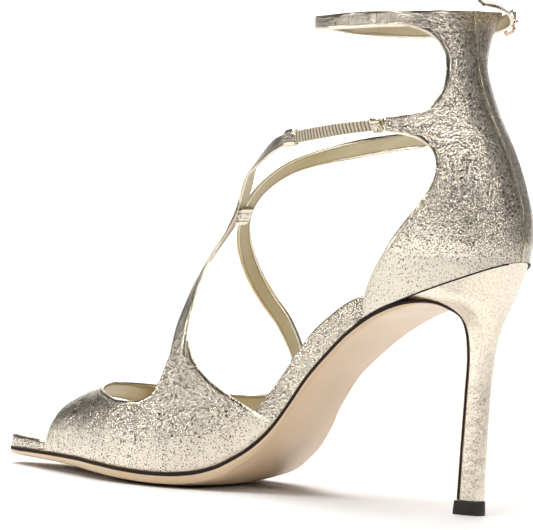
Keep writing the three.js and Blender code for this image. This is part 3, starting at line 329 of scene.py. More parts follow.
def counter_surface(z, around):
    """Outside of the counter: level sections, each an oval with a squared outer back corner,
    from the lateral front (around -1) over the back seam (0) to the medial front (+1)."""
    medial = around >= 0
    turn = np.abs(around) * COUNTER_SWEEP
    behind = turn < math.pi / 2
    power = np.where(behind, np.where(medial, ROUND_CORNER, counter_square(z)), 2)
    half = np.where(medial, counter_medial(z), counter_lateral(z))
    reach = np.where(behind, counter_reach(z), counter_front(z))
    share = np.abs(np.sin(turn)) ** (2 / power)
    flare = np.where(~medial & behind, counter_flare(z) * 4 * share ** 2 * (1 - share ** 2), 0)
    lengthwise = np.sign(np.cos(turn)) * np.abs(np.cos(turn)) ** (2 / power)
    x = counter_back(z) + counter_reach(z) - reach * lengthwise - flare
    return joined(x, np.where(medial, 1, -1) * half * share, z)


# The footbed: a stiffened insole board and thin padding, wrapped in the upper's leather on
# its edge and covered with beige lining leather. It is cemented on the outsole, and its edge
# shows at the toe and along the inner arch.
BED_SOLID_INSET = WALL + FIT_GAP
BED_SHOWN_INSET = 0.35
BED_STEPS, BED_ROLL, BED_HOLLOW = 260, 1.5, 2.6
BED_EDGE_ROWS = 10
# where the rim is bare: the arch's back and front ends, and the tip from here on
MEDIAL_BARE = station(np.array([0.262, 0.470, 0.905]))
LATERAL_BARE = station(np.array([0.262, 0.385, 0.820]))


def noise(tree, where, pitch, detail=2.0, **more):
    """A soft random pattern with cells one pitch apart, in millimetres."""
    return add_node(tree, "TexNoise", Vector=where, Scale=1 / (pitch * MM), Detail=detail,
                    **more).outputs["Fac"]


def stored(tree, name):
    """A value that is stored on the piece's points."""
    return add_node(tree, "Attribute", {"attribute_name": name}).outputs["Fac"]


def ranged(tree, value, low, high, to_low=0.0, to_high=1.0):
    """A value carried from one range to another."""
    return add_node(tree, "MapRange", Value=value, From_Min=low, From_Max=high, To_Min=to_low,
                    To_Max=to_high).outputs[0]


def worked(tree, operation, *values):
    """The result of a sum on values."""
    return add_node(tree, "Math", {"operation": operation},
                    **{f"i{at}": value for at, value in enumerate(values)}).outputs[0]


def mixed(tree, share, low, high):
    """A colour between two, each a hex colour or another node's."""
    low, high = (linear(c) if isinstance(c, str) else c for c in (low, high))
    return add_node(tree, "Mix", {"data_type": "RGBA"}, Factor=share, i6=low, i7=high).outputs[2]


def finish_shader(tree, shader, height, strength, depth, colour=None):
    """Gives the shader a relief of a depth in metres and, where it varies, its colour."""
    relief = add_node(tree, "Bump", Height=height, Strength=strength, Distance=depth)
    tree.links.new(relief.outputs["Normal"], shader.inputs["Normal"])
    if colour is not None:
        tree.links.new(colour, shader.inputs["Base Color"])


lining, tree, shader, where = new_material("smooth_beige_lining_leather", Roughness=0.4, Metallic=0.3)
# Drummed lining leather, matt, with fine pores about a millimetre apart. The turned edge of
# the nappa shows as a duller margin with a stitched groove, painted near black as shade.
rim = stored(tree, "edge_depth")
tone = mixed(tree, noise(tree, where, 20), "#B9AB89", "#CDBF9F")
tone = mixed(tree, ranged(tree, rim, 1.0, 1.2, 0.8, 0.0), tone, "#A2957B")
groove = worked(tree, "PINGPONG", ranged(tree, rim, 1.0, 1.7), 0.5)
# Painted shade: the stitched groove is coloured near black.
tone = mixed(tree, groove, tone, "#2E271B")
finish_shader(tree, shader, noise(tree, where, 0.9, 3.0), 0.6, 0.0002, tone)

# Foil-finished nappa: a thin pale gold film pressed on soft leather and drummed until it
# breaks into a fine crinkle, 0.5 to 0.8 mm apart. Most of the pattern is the film's own
# reflections; the colour ramp also paints shade into the folds' bottoms, and paints less of it
# where the leather is ironed. Turned edges are ironed smooth for a millimetre and end in a
# pressed line, painted darker as shade in its groove; edge_depth gives the distance to them in
# millimetres.
NAPPA_CELL, NAPPA_WAVE, WAVE_SHARE = 0.56, 6, 2.0
IRONED_GLOSS, IRONED_FILM, IRONED_LIGHTER = 0.42, 0.35, 0.07
# heights where the painted shade in the folds' bottoms ends and the full foil colour begins
FOLD_SHADE_END, FOIL_START = 0.42, 0.485
# millimetres in from a turned edge: where the ironed band fades, and the pressed line
EDGE_BAND, PRESSED_LINE = (1.0, 1.3), (1.55, 1.8)
BAND_HEIGHT, LINE_DEPTH = 1.4, -1.6


def make_nappa(name, stretch, flat, painted_fold_shade, roughness, depth, edged=True):
    """Foiled nappa, its crinkle drawn out by stretch along each axis, with shade painted into the
    crinkle's folds.
    """
    made, tree, shader, where = new_material(name)
    laid = add_node(tree, "Mapping", Vector=where, Scale=stretch).outputs[0]
    crinkle = noise(tree, laid, NAPPA_CELL, Roughness=0.55, Distortion=0.2)
    height = worked(tree, "MULTIPLY_ADD", noise(tree, where, NAPPA_WAVE), WAVE_SHARE, crinkle)
    flat_share = stored(tree, "ironed")
    # The ramp paints shade into the crinkle's low cells; the ironed share lifts it, so less shade is
    # painted there.
    ramp = add_node(tree, "ValToRGB",
                    Fac=worked(tree, "MULTIPLY_ADD", flat_share, IRONED_LIGHTER, crinkle))
    stops = ramp.color_ramp.elements
    stops[0].position, stops[0].color = FOLD_SHADE_END, linear(painted_fold_shade)
    stops[1].position, stops[1].color = FOIL_START, linear(flat)
    colour = ramp.outputs["Color"]
    if edged:
        rim = stored(tree, "edge_depth")
        band = ranged(tree, rim, *EDGE_BAND, 0.75, 0.0)
        groove = worked(tree, "PINGPONG", ranged(tree, rim, *PRESSED_LINE), 0.5)
        smoothed = add_node(tree, "Mix", {"data_type": "FLOAT"}, Factor=band, i2=height,
                            i3=BAND_HEIGHT).outputs[0]
        height = worked(tree, "MULTIPLY_ADD", groove, LINE_DEPTH, smoothed)
        # Painted shade: the pressed line's groove is coloured darker than the foil.
        colour = mixed(tree, groove, mixed(tree, band, colour, "#E9DFCB"), "#675B49")
    film = ranged(tree, flat_share, 0.0, 1.0, 1.0, IRONED_FILM)
    finish_shader(tree, shader, height, film, depth, colour)
    gloss = ranged(tree, flat_share, 0.0, 1.0, roughness, IRONED_GLOSS)
    tree.links.new(gloss, shader.inputs["Roughness"])
    tree.links.new(film, shader.inputs["Metallic"])
    return made


# Each nappa's second colour is the painted shade in its crinkle's folds.
nappa = make_nappa("pale_gold_foiled_nappa", (1, 1, 1), "#F6ECDA", "#3A3228", 0.2, 0.00034)
bed_nappa = make_nappa("pale_gold_foiled_nappa_on_board", (1, 1, 1), "#F4EAD8", "#6A6050", 0.24,
                       0.00022, False)


def footbed_points(x):
    """Level-bottomed section with rolled top edges and a slightly hollow top, hugging the
    last's outline where the edge shows and drawn in where the upper wraps it."""
    sides = []
    for medial_side, (arch_back, arch_front, tip) in ((True, MEDIAL_BARE), (False, LATERAL_BARE)):
        in_arch = smooth_step(x, arch_back - 2, arch_back + 2) * (
            1 - smooth_step(x, arch_front - 2, arch_front + 2))
        bare = np.maximum(in_arch, smooth_step(x, tip - 2, tip + 2))
        inset = BED_SOLID_INSET + (BED_SHOWN_INSET - BED_SOLID_INSET) * bare
        nearer = np.clip(x - inset * np.sign(station(0.2) - x), station(0), station(1))
        sides.append((outline(nearer, medial_side) - inset)[:, None])
    medial = np.maximum(sides[0], 1)
    lateral = np.maximum(sides[1], 1 - medial)
    x = x[:, None]
    foot, rim_rise, bed_rise = feather_height(x), rim_height(x), bed_height(x)
    low, rim, middle = foot + FIT_GAP, foot + rim_rise, foot + bed_rise
    outer = foot + np.maximum(bed_rise, rim_rise * 0.72)
    turn = np.linspace(0, math.pi / 2, 7)
    rolled_in, rolled_up = BED_ROLL * (1 - np.cos(turn)), BED_ROLL * (1 - np.sin(turn))
    share = 1 - 2 * np.arange(1, 16) / 16
    half, side_top = np.where(share > 0, medial, lateral), np.where(share > 0, rim, outer)
    y = np.hstack([medial + np.zeros(5), medial - rolled_in, share * (half - BED_ROLL),
                   rolled_in[::-1] - lateral, np.zeros(5) - lateral])
    z = np.hstack([low + (rim - BED_ROLL - low) * np.arange(5) / 5, rim - rolled_up,
                   middle + (side_top - middle) * np.abs(share) ** BED_HOLLOW, outer - rolled_up[::-1],
                   outer - BED_ROLL + (low - outer + BED_ROLL) * np.arange(1, 6) / 5])
    return joined(x, y, z)


def store(piece, name, values):
    """A value at each point, for the piece's material. A loft's two middle points, which come
    last, get 0."""
    values = np.asarray(values, dtype=np.float32).ravel()
    layer = piece.data.attributes.new(name, "FLOAT", "POINT")
    layer.data.foreach_set("value", np.pad(values, (0, len(piece.data.vertices) - len(values))))


def closed_loft(rings):
    """Faces along rings of points, with each end closed by a fan to a middle point."""
    count, size = rings.shape[:2]
    points = np.concatenate([rings.reshape(-1, 3), rings[0].mean(0)[None], rings[-1].mean(0)[None]])
    faces = [tuple(f) for f in grid_faces(count, size, close_columns=True)]
    last = (count - 1) * size
    faces += [(count * size, (j + 1) % size, j) for j in range(size)]
    faces += [(count * size + 1, last + j, last + (j + 1) % size) for j in range(size)]
    return points, faces


def slots_round(faces, size, rows):
    """Slot 1 for the loft's faces that start in one of these rows round its section, else 0."""
    return [int(len(f) == 4 and f[0] % size in rows) for f in faces]


def outward(piece):
    """Merges the piece's doubles and turns its faces outwards."""
    work = bmesh.new()
    work.from_mesh(piece.data)
    bmesh.ops.remove_doubles(work, verts=work.verts, dist=1e-6)
    bmesh.ops.recalc_face_normals(work, faces=work.faces)
    work.to_mesh(piece.data)
    work.free()
    piece.data.polygons.foreach_set("use_smooth", np.ones(len(piece.data.polygons), dtype=bool))
    piece.data.set_sharp_from_angle(angle=math.radians(40))
    return piece


bed_back, bed_front = station(0) + BED_SOLID_INSET, station(1) - BED_SHOWN_INSET
bed_share = (1 - np.cos(math.pi * np.linspace(0, 1, BED_STEPS))) / 2
bed_rings = footbed_points(bed_back + 0.05 + (bed_front - bed_back) * bed_share)
bed_round = bed_rings.shape[1]
bed_points, bed_faces = closed_loft(bed_rings)
bed_edge = {*range(BED_EDGE_ROWS), *range(bed_round - BED_EDGE_ROWS, bed_round)}
footbed = outward(make_piece("wrapped_footbed", bed_points, bed_faces, [lining, bed_nappa],
                             slots_round(bed_faces, bed_round, bed_edge)))
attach(footbed, "root")
store(footbed, "edge_depth", np.full(len(footbed.data.vertices), 9))
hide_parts("footbed")

# The upper's lasted parts: the toe band with its two sides, and the counter. Each is foiled
# nappa over beige lining, its edges turned in and stitched, and pulled over the last.
# at, rise of the upper edges of the vamp on each side
MEDIAL_VAMP = thousandths(
    (300, 150), (405, 245), (425, 258), (458, 285), (493, 328), (520, 365), (542, 405),
    (560, 460), (574, 520), (592, 520), (604, 445), (614, 375), (632, 318), (662, 292),
    (700, 290), (735, 302), (775, 322), (800, 400), (1000, 600))
LATERAL_VAMP = thousandths(
    (300, 150), (395, 220), (415, 262), (440, 340), (470, 425), (490, 474), (509, 500),
    (529, 500), (538, 436), (547, 378), (560, 338), (578, 314), (612, 302), (660, 300),
    (720, 308), (780, 325), (805, 400), (1000, 600))
# across, at of the toe opening
TOE_OPENING = thousandths(
    (-1000, 800), (-600, 812), (-200, 838), (100, 858), (500, 876), (800, 888), (1000, 895))
# height, at of the counter's front edges
MEDIAL_COUNTER = thousandths(
    (360, 238), (381, 242), (400, 249), (424, 247), (449, 240), (478, 228), (514, 208),
    (553, 180), (587, 155), (615, 136), (640, 123), (662, 116), (687, 113), (711, 119),
    (731, 134), (742, 154), (748, 190), (752.5, 220), (775, 220), (785, 188), (793, 162),
    (804, 144), (823, 132), (848, 126), (876, 127), (904, 130), (926, 137), (943, 149),
    (954, 165), (959, 182), (962, 200), (1000, 200))
LATERAL_COUNTER = thousandths(
    (360, 238), (381, 242), (400, 249), (424, 247), (449, 240), (478, 228), (514, 206),
    (553, 178), (587, 154), (615, 137), (640, 126), (662, 121), (682, 126), (698, 142),
    (706, 166), (710, 200), (713, 236), (751, 236), (755, 200), (760, 168), (770, 148),
    (790, 134), (820, 127), (860, 125), (900, 126), (940, 128), (970, 130), (1000, 130))
# at, rise of the collar's top edge
COLLAR_TOP = thousandths(
    (80, 1000), (130, 998), (175, 994), (205, 991), (300, 985))
medial_vamp_edge = along_shoe(MEDIAL_VAMP, 1, INSTEP_HEIGHT)
lateral_vamp_edge = along_shoe(LATERAL_VAMP, 1, INSTEP_HEIGHT)
toe_opening = through(TOE_OPENING, 1)
medial_counter_edge = through(MEDIAL_COUNTER, 1, COLLAR_HEIGHT, SHOE_LENGTH)
lateral_counter_edge = through(LATERAL_COUNTER, 1, COLLAR_HEIGHT, SHOE_LENGTH)
collar_top = along_shoe(COLLAR_TOP, 1, COLLAR_HEIGHT)


def inside_edge(edge, along, value, shift=0):
    """Distance inside an edge that is a curve over one axis: the drop to it, levelled by its
    slope there."""
    slope = (edge(along + 0.4) - edge(along - 0.4)) / 0.8
    return (edge(along) - shift - value) / np.hypot(1, slope)


def inside_vamp(x, across, point):
    """Depth inside the vamp's upper edges and the toe opening."""
    z = point[..., 2]
    upper = np.where(across > 0, inside_edge(medial_vamp_edge, x, z),
                     inside_edge(lateral_vamp_edge, x, z))
    return np.minimum(upper, station(toe_opening(across)) - x)


def inside_counter_edges(z, around, point):
    """Depth inside the counter's two turned edges: its front and its top."""
    x = point[..., 0]
    front = np.where(around > 0, inside_edge(medial_counter_edge, z, x, HEEL_SETBACK),
                     inside_edge(lateral_counter_edge, z, x, HEEL_SETBACK))
    top = np.where(around > 0, inside_edge(collar_top, x, z), front)
    return np.minimum(front, top)


def inside_counter(z, around, point):
    """Depth inside the turned edges and above the feather line."""
    foot = -inside_edge(lambda a: feather_height(a) + FIT_GAP, point[..., 0], z)
    return np.minimum(inside_counter_edges(z, around, point), foot)


# cells that a point may slide in all, and in one step
MOST_SLIDE, SLIDE_STEP = 1.3, 0.6


def cut_sheet(surface, inside, u_values, v_values):
    """Grid points of a surface, kept where inside is positive. The points just outside slide
    down the slope of inside onto its zero line, so the cut edge is clean."""
    def depth_at(u, v):
        return inside(u, v, surface(u, v))

    u, v = [a.copy() for a in np.meshgrid(u_values, v_values, indexing="ij")]
    step_u, step_v = u_values[1] - u_values[0], v_values[1] - v_values[0]
    good = depth_at(u, v) > 0
    keep = good[:-1, :-1] | good[1:, :-1] | good[:-1, 1:] | good[1:, 1:]
    used = np.zeros_like(good)
    for di in (0, 1):
        for dj in (0, 1):
            used[di:di + keep.shape[0], dj:dj + keep.shape[1]] |= keep
    slide = used & ~good
    a, b = start_a, start_b = u[slide], v[slide]
    e, f, far_u, far_v = step_u * 0.05, step_v * 0.05, step_u * MOST_SLIDE, step_v * MOST_SLIDE
    for _ in range(8):
        here = depth_at(a, b)
        slope_a = (depth_at(a + e, b) - depth_at(a - e, b)) / 0.1
        slope_b = (depth_at(a, b + f) - depth_at(a, b - f)) / 0.1
        size = slope_a ** 2 + slope_b ** 2 + 1e-6
        a = a - np.clip(here * slope_a / size, -SLIDE_STEP, SLIDE_STEP) * step_u
        b = b - np.clip(here * slope_b / size, -SLIDE_STEP, SLIDE_STEP) * step_v
        a = np.clip(np.clip(a, start_a - far_u, start_a + far_u), u_values[0], u_values[-1])
        b = np.clip(np.clip(b, start_b - far_v, start_b + far_v), v_values[0], v_values[-1])
    u[slide], v[slide] = a, b
    number = -np.ones(u.shape, dtype=int)
    number[used] = np.arange(used.sum())
    i, j = np.nonzero(keep)
    faces = joined(number[i, j], number[i + 1, j], number[i + 1, j + 1], number[i, j + 1])
    return u[used], v[used], surface(u, v)[used], faces


def surface_normal(surface, u, v, u_values, v_values):
    """Unit normal from the surface's two slopes, taken a little inside its range."""
    u = np.clip(u, u_values[0] + 0.01, u_values[-1] - 0.01)
    v = np.clip(v, v_values[0] + 0.003, v_values[-1] - 0.003)
    return unit(np.cross(surface(u + 0.01, v) - surface(u - 0.01, v),
                         surface(u, v + 0.003) - surface(u, v - 0.003)))


TURN_WIDTH, TURN_DROP, STITCH_AT, STITCH_WIDTH, STITCH_DROP = 1.2, 0.4, 2.0, 0.45, 0.2


def turned_edge(depth):
    """How far a turned and stitched edge stands off its surface: rounded over at the very
    edge, and pulled down along the stitches."""
    rounded = -TURN_DROP * np.clip(1 - depth / TURN_WIDTH, 0, 1) ** 2
    return rounded - STITCH_DROP * np.exp(-((depth - STITCH_AT) / STITCH_WIDTH) ** 2)


def make_sheet(name, surface, inside, turned, pressed, ironed, relief, u_values, v_values):
    """A lasted sheet: turned gives the distance to its turned edges, pressed the distance to
    any pressed line, and ironed the share of its crinkle that was pulled flat."""
    u, v, points, faces = cut_sheet(surface, inside, u_values, v_values)
    normal = surface_normal(surface, u, v, u_values, v_values)
    depth = np.maximum(turned(u, v, points), 0)
    lifted = points + normal * (turned_edge(depth) + relief(u, v, depth))[:, None]
    made = make_piece(name, lifted, faces, [nappa, lining])
    store(made, "edge_depth", pressed(v, depth))
    store(made, "ironed", ironed(points))
    wall = made.modifiers.new("wall", "SOLIDIFY")
    wall.thickness = (WALL - 0.25) * MM
    wall.offset = -1
    wall.material_offset = 1
    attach(made, "root")
    return made


def vamp_relief(x, across, depth):
    """Soft troughs where the toe band was pulled over: shallow waves that fan out from the
    throat and fade at the edges."""
    fan = np.sin(x * 0.55 + across * 3.0 + 1.3 * np.sin(across * 5 + x * 0.08))
    fine = np.sin(x * 1.3 - across * 9.0 + 2.1 * np.sin(x * 0.21))
    return (0.16 * fan + 0.08 * fine) * smooth_step(depth, 1.5, 6)


def counter_relief(z, around, depth):
    """Faint upright waves."""
    return 0.06 * np.sin(around * 54 + 1.2 * np.sin(z * 0.11)) * smooth_step(depth, 1.5, 6)


def vamp_ironed(points):
    """The sides are pulled flat over the feather edge, most of all towards the arch."""
    x, above = points[:, 0], points[:, 2] - feather_height(points[:, 0])
    return (1 - smooth_step(above, 3, 20)) * (1 - 0.5 * smooth_step(x, station(0.5), station(0.75)))


def counter_ironed(points):
    """The counter is pulled flat below the seat, where it turns under the arch."""
    return 1 - smooth_step(points[:, 2], SEAT_HEIGHT - 4, SEAT_HEIGHT + 6)


COUNTER_HALF_GIRTH, SEAM_HALF = 64, 0.75


def beside_back_seam(around, depth):
    """Distance to the turned edges or to the back seam, which is pressed down on both sides."""
    return np.minimum(depth, np.abs(around) * COUNTER_HALF_GIRTH + SEAM_HALF)


vamp = make_sheet("toe_band_and_vamp_sides", vamp_surface, inside_vamp, inside_vamp,
                  lambda v, depth: depth, vamp_ironed, vamp_relief,
                  np.arange(station(0.385), station(0.91), 0.55), np.linspace(-1, 1, 310))
counter = make_sheet("closed_counter", counter_surface, inside_counter, inside_counter_edges,
                     beside_back_seam, counter_ironed, counter_relief,
                     np.arange(feather_height(station(0.25)) - 1, COLLAR_HEIGHT + 0.01, 0.6),
                     np.linspace(-1, 1, 250))

# The straps: folded bands of the same leather with rolled edges. Two cross the instep and are
# bound together where they meet; the ankle strap runs from the counter's inner top round the
# ankle, under the buckle, and ends free.
INSTEP_STRAP_WIDTH, ANKLE_STRAP_WIDTH, STRAP_THICKNESS = 7.6, 6.5, 1.5
# at, across, rise, wide
MEDIAL_STRAP = thousandths(
    (583, 458, 462, 1060), (584, 450, 490, 1020), (585, 422, 562, 950), (583, 370, 646, 900),
    (581, 287, 739, 900), (571, 178, 841, 920), (559, 79, 938, 950), (549, 50, 1020, 1000),
    (524, 120, 1105, 1050), (482, 234, 1160, 1050), (436, 326, 1212, 840), (402, 363, 1238, 620))
LATERAL_STRAP = thousandths(
    (517, -446, 455, 1100), (526, -440, 500, 1050), (546, -411, 580, 960), (566, -356, 646, 930),
    (578, -279, 717, 920), (581, -185, 796, 920), (575, -95, 880, 950), (562, -51, 960, 950),
    (546, -105, 1045, 920), (516, -215, 1120, 920), (470, -326, 1170, 950),
    (410, -385, 1205, 1000), (330, -397, 1238, 1000), (262, -383, 1255, 950),
    (215, -375, 1262, 750))
# at, across, height, wide, twist
ANKLE_STRAP = np.array([
    (0.1586, 0.392, 0.9783, 0.7, 0), (0.1762, 0.453, 0.9773, 0.98, 0),
    (0.2026, 0.51, 0.9747, 1, 0), (0.2361, 0.547, 0.9716, 1, 0),
    (0.2925, 0.547, 0.9649, 0.97, 0), (0.341, 0.482, 0.9597, 0.9, 0),
    (0.3802, 0.357, 0.9576, 0.85, 0), (0.4035, 0.196, 0.9581, 0.82, 0),
    (0.411, 0, 0.9576, 0.82, 0), (0.4035, -0.206, 0.954, 0.84, 0),
    (0.3802, -0.373, 0.9525, 0.9, 0), (0.341, -0.506, 0.9519, 0.95, 0),
    (0.2925, -0.576, 0.954, 1, 0), (0.2361, -0.602, 0.9587, 1, 0),
    (0.1996, -0.602, 0.9638, 1, 0), (0.1652, -0.588, 0.969, 1, 0),
    (0.1344, -0.545, 0.9757, 1, 4), (0.1123, -0.471, 0.9845, 1, 14),
    (0.0969, -0.343, 0.9953, 0.98, 34), (0.0894, -0.196, 1.0057, 0.95, 52),
    (0.0907, -0.059, 1.0119, 0.9, 60), (0.0991, 0.069, 1.015, 0.7, 62)])


def smooth_line(points, steps):
    """Centripetal Catmull-Rom line: each span is a cubic whose knots are spaced by the square
    root of the chords, evaluated at equal shares of the rows."""
    ends = [2 * points[0] - points[1], 2 * points[-1] - points[-2]]
    p = np.concatenate([ends[:1], points, ends[1:]])
    t = np.linspace(0, len(points) - 1, steps)
    i = np.minimum(t.astype(int), len(points) - 2)
    w = (t - i)[:, None]
    p0, p1, p2, p3 = p[i], p[i + 1], p[i + 2], p[i + 3]
    d0, d1, d2 = (np.maximum(np.linalg.norm(b - a, axis=1, keepdims=True), 1e-4) ** 0.5
                  for a, b in ((p0, p1), (p1, p2), (p2, p3)))
    m1 = ((p1 - p0) / d0 - (p2 - p0) / (d0 + d1) + (p2 - p1) / d1) * d1
    m2 = ((p2 - p1) / d1 - (p3 - p1) / (d1 + d2) + (p3 - p2) / d2) * d1
    return (p1 + m1 * w + (3 * (p2 - p1) - 2 * m1 - m2) * w ** 2 + (2 * (p1 - p2) + m1 + m2) * w ** 3)


AXIS_LOW = np.array([station(0.643), 0, SEAT_HEIGHT * 0.2])
AXIS_HIGH = np.array([station(0.256), 0, COLLAR_HEIGHT * 0.97])
FOOT_AXIS = unit(AXIS_HIGH - AXIS_LOW)
COLLAR_MIDDLE = counter_back(COLLAR_HEIGHT) + counter_reach(COLLAR_HEIGHT)


def facing_instep(points):
    """Away from the foot's sloping axis, for a strap round the instep."""
    out = points - AXIS_LOW
    out = out - (out @ FOOT_AXIS)[:, None] * FOOT_AXIS
    return out * [1, 0.62, 1]


def facing_ankle(points):
    """Away from the upright middle of the collar."""
    return (points - [COLLAR_MIDDLE, 0, 0]) * [1, 1, 0]


def instep_places(rows):
    """Rows of at, across and rise as places in millimetres."""
    return joined(station(rows[:, 0]), rows[:, 1] * BALL_WIDTH, rows[:, 2] * INSTEP_HEIGHT)


def strap_frame(places, facing, steps, twists=None):
    """Centres along a strap, with its way along, its outside and its way across there."""
    centre = smooth_line(places, steps)
    along = unit(np.gradient(centre, axis=0))
    out = facing(centre)
    out = unit(out - (out * along).sum(1, keepdims=True) * along)
    across = np.cross(along, out)
    if twists is not None:
        at = np.linspace(0, len(twists) - 1, steps)
        turn = np.radians(np.interp(at, np.arange(len(twists)), twists))[:, None]
        out = out * np.cos(turn) + across * np.sin(turn)
        across = np.cross(along, out)
    return centre, along, out, across


def band_section(width, thickness, count):
    """A flat band's section with rolled edges, as a squared ellipse, on a share of a turn."""
    turn = full_turn(count)
    a = np.sign(np.cos(turn)) * np.abs(np.cos(turn)) ** 0.45
    b = np.sign(np.sin(turn)) * np.abs(np.sin(turn)) ** 0.7
    return a[None] * width[:, None] / 2, b[None] * thickness[:, None] / 2


STRAP_ROUND, LINED_ROWS, HOLLOW_POINTS, HOLLOW = 28, range(19, 23), slice(20, 23), 0.72


def make_strap(name, places, wides, width, thickness, facing, steps, twists=None, materials=None,
               ripple=None):
    """A band carried along a strap's line, its nappa side out and its lining side in."""
    centre, along, out, across = strap_frame(places, facing, steps, twists)
    share = np.linspace(0, len(wides) - 1, steps)
    w = width * through(joined(np.arange(len(wides)), wides), 1)(share)
    h = np.full(steps, float(thickness))
    if ripple is not None:
        w, h = ripple(share / share[-1], w, h)
    a, b = band_section(w, h, STRAP_ROUND)
    b[:, HOLLOW_POINTS] *= HOLLOW
    rings = centre[:, None] + across[:, None] * a[..., None] + out[:, None] * b[..., None]
    points, faces = closed_loft(rings)
    made = make_piece(name, points, faces, materials or [nappa, lining],
                      slots_round(faces, STRAP_ROUND, LINED_ROWS))
    store(made, "edge_depth", w[:, None] / 2 - np.abs(a))
    outward(made)
    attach(made, "root")
    return made


medial_strap = make_strap("inner_instep_strap", instep_places(MEDIAL_STRAP), MEDIAL_STRAP[:, 3],
                          INSTEP_STRAP_WIDTH, STRAP_THICKNESS, facing_instep, 300)
lateral_strap = make_strap("outer_instep_strap", instep_places(LATERAL_STRAP), LATERAL_STRAP[:, 3],
                           INSTEP_STRAP_WIDTH, STRAP_THICKNESS, facing_instep, 340)
ankle_places = joined(station(ANKLE_STRAP[:, 0]), ANKLE_STRAP[:, 1] * HEEL_WIDTH,
                      ANKLE_STRAP[:, 2] * COLLAR_HEIGHT)
ankle_strap = make_strap("ankle_strap", ankle_places, ANKLE_STRAP[:, 3], ANKLE_STRAP_WIDTH,
                         STRAP_THICKNESS, facing_ankle, 480, ANKLE_STRAP[:, 4])

# The back seam is covered by a narrow strip of the same leather, cemented and stitched down
# from the seat to the collar.
SEAM_ROWS, SEAM_WIDTH, SEAM_THICKNESS = 26, 1.3, 0.9
seam_z = np.linspace(feather_height(station(0.005)) + 0.5, COLLAR_HEIGHT - 0.3, SEAM_ROWS)
seam_places = counter_surface(seam_z, np.zeros(SEAM_ROWS)) - [0.15, 0, 0]
back_seam = make_strap("back_seam_strip", seam_places, np.ones(SEAM_ROWS), SEAM_WIDTH,
                       SEAM_THICKNESS, lambda centre: centre * 0 - [1, 0, 0], 400,
                       materials=[nappa, nappa])

# The binding: a narrow loop of the leather, stitched round both instep straps where they
# meet, so they can't part.
BINDING_LENGTH, BINDING_WALL, BINDING_ROUND = 7, 0.7, 40
binding_centre = instep_places(np.array([[0.5585, 0.008, 0.952]]))
binding_out = unit(facing_instep(binding_centre))[0]
binding_across = unit(np.cross(FOOT_AXIS, binding_out))
binding_end = np.linspace(-0.5, 0.5, 24)
binding_roll = 1 - 0.10 * np.abs(2 * binding_end) ** 6
ba, bb = band_section(INSTEP_STRAP_WIDTH * 1.5 * binding_roll,
                      (STRAP_THICKNESS + 2 * BINDING_WALL) * binding_roll, BINDING_ROUND)
binding_rings = (binding_centre[:, None] + (binding_end * BINDING_LENGTH)[:, None, None] * FOOT_AXIS
                 + ba[..., None] * binding_across + bb[..., None] * binding_out)
binding = outward(make_piece("strap_binding", *closed_loft(binding_rings), [nappa]))
from_ends = (0.5 - np.abs(binding_end)) * BINDING_LENGTH
store(binding, "edge_depth", np.repeat(from_ends, BINDING_ROUND))
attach(binding, "root")
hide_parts("upper")

# The outsole: polished nude sole leather, its edge trimmed square and painted black-brown.
# It is bevelled underneath to a crowned tread, and it turns down the heel's breast as a thin
# flap to the top piece.
OUTSOLE_EDGE, TREAD_CROWN, FLAP_EDGE, FLAP_CROWN, LIFT_HEIGHT = 1.8, 4.6, 1.2, 0.5, 5.4
# forward, height, half width of the breast
BREAST = thousandths(
    (123, 802, 480), (98, 822, 472), (64, 835, 456), (37, 832, 418), (19, 812, 345),
    (9, 775, 225), (5, 720, 165), (4.5, 620, 118), (7.5, 470, 98), (10, 270, 92), (11, 59, 94))
# at, crown under the edge as a share of the tread's
CROWN = thousandths(
    (150, 340), (400, 400), (480, 720), (540, 1000), (720, 1000), (820, 800), (1000, 500))
crown_at = along_shoe(CROWN, 1, TREAD_CROWN)
sole_share = np.linspace(0, 1, 240)
sole_x = station(1) + (station(0.225) - station(1)) * (1 - (1 - sole_share) ** 1.25)
sole_line = joined(sole_x, feather_height(sole_x), outline(sole_x, True), outline(sole_x, False),
                   OUTSOLE_EDGE, crown_at(sole_x))
turn_line = smooth_line(BREAST * [SHOE_LENGTH, SEAT_HEIGHT, HEEL_WIDTH], 150)
thin = smooth_step(np.linspace(0, len(turn_line), len(turn_line)), 0, len(turn_line) * 0.32)
arch_crown = CROWN[0, 1] * TREAD_CROWN
turn_line = joined(*turn_line.T, turn_line[:, 2] + 0.8 * (1 - thin),
                   OUTSOLE_EDGE + (FLAP_EDGE - OUTSOLE_EDGE) * thin,
                   arch_crown + (FLAP_CROWN - arch_crown) * thin)
sole_line = np.concatenate([sole_line, turn_line])
run = unit(np.gradient(sole_line[:, :2], axis=0))
sole_out = joined(-run[:, 1], run[:, 0])
BEVEL, BEVEL_SHARE, EDGE_SWELL, CROWN_SIDE = 2.6, 0.22, 0.12, 0.62


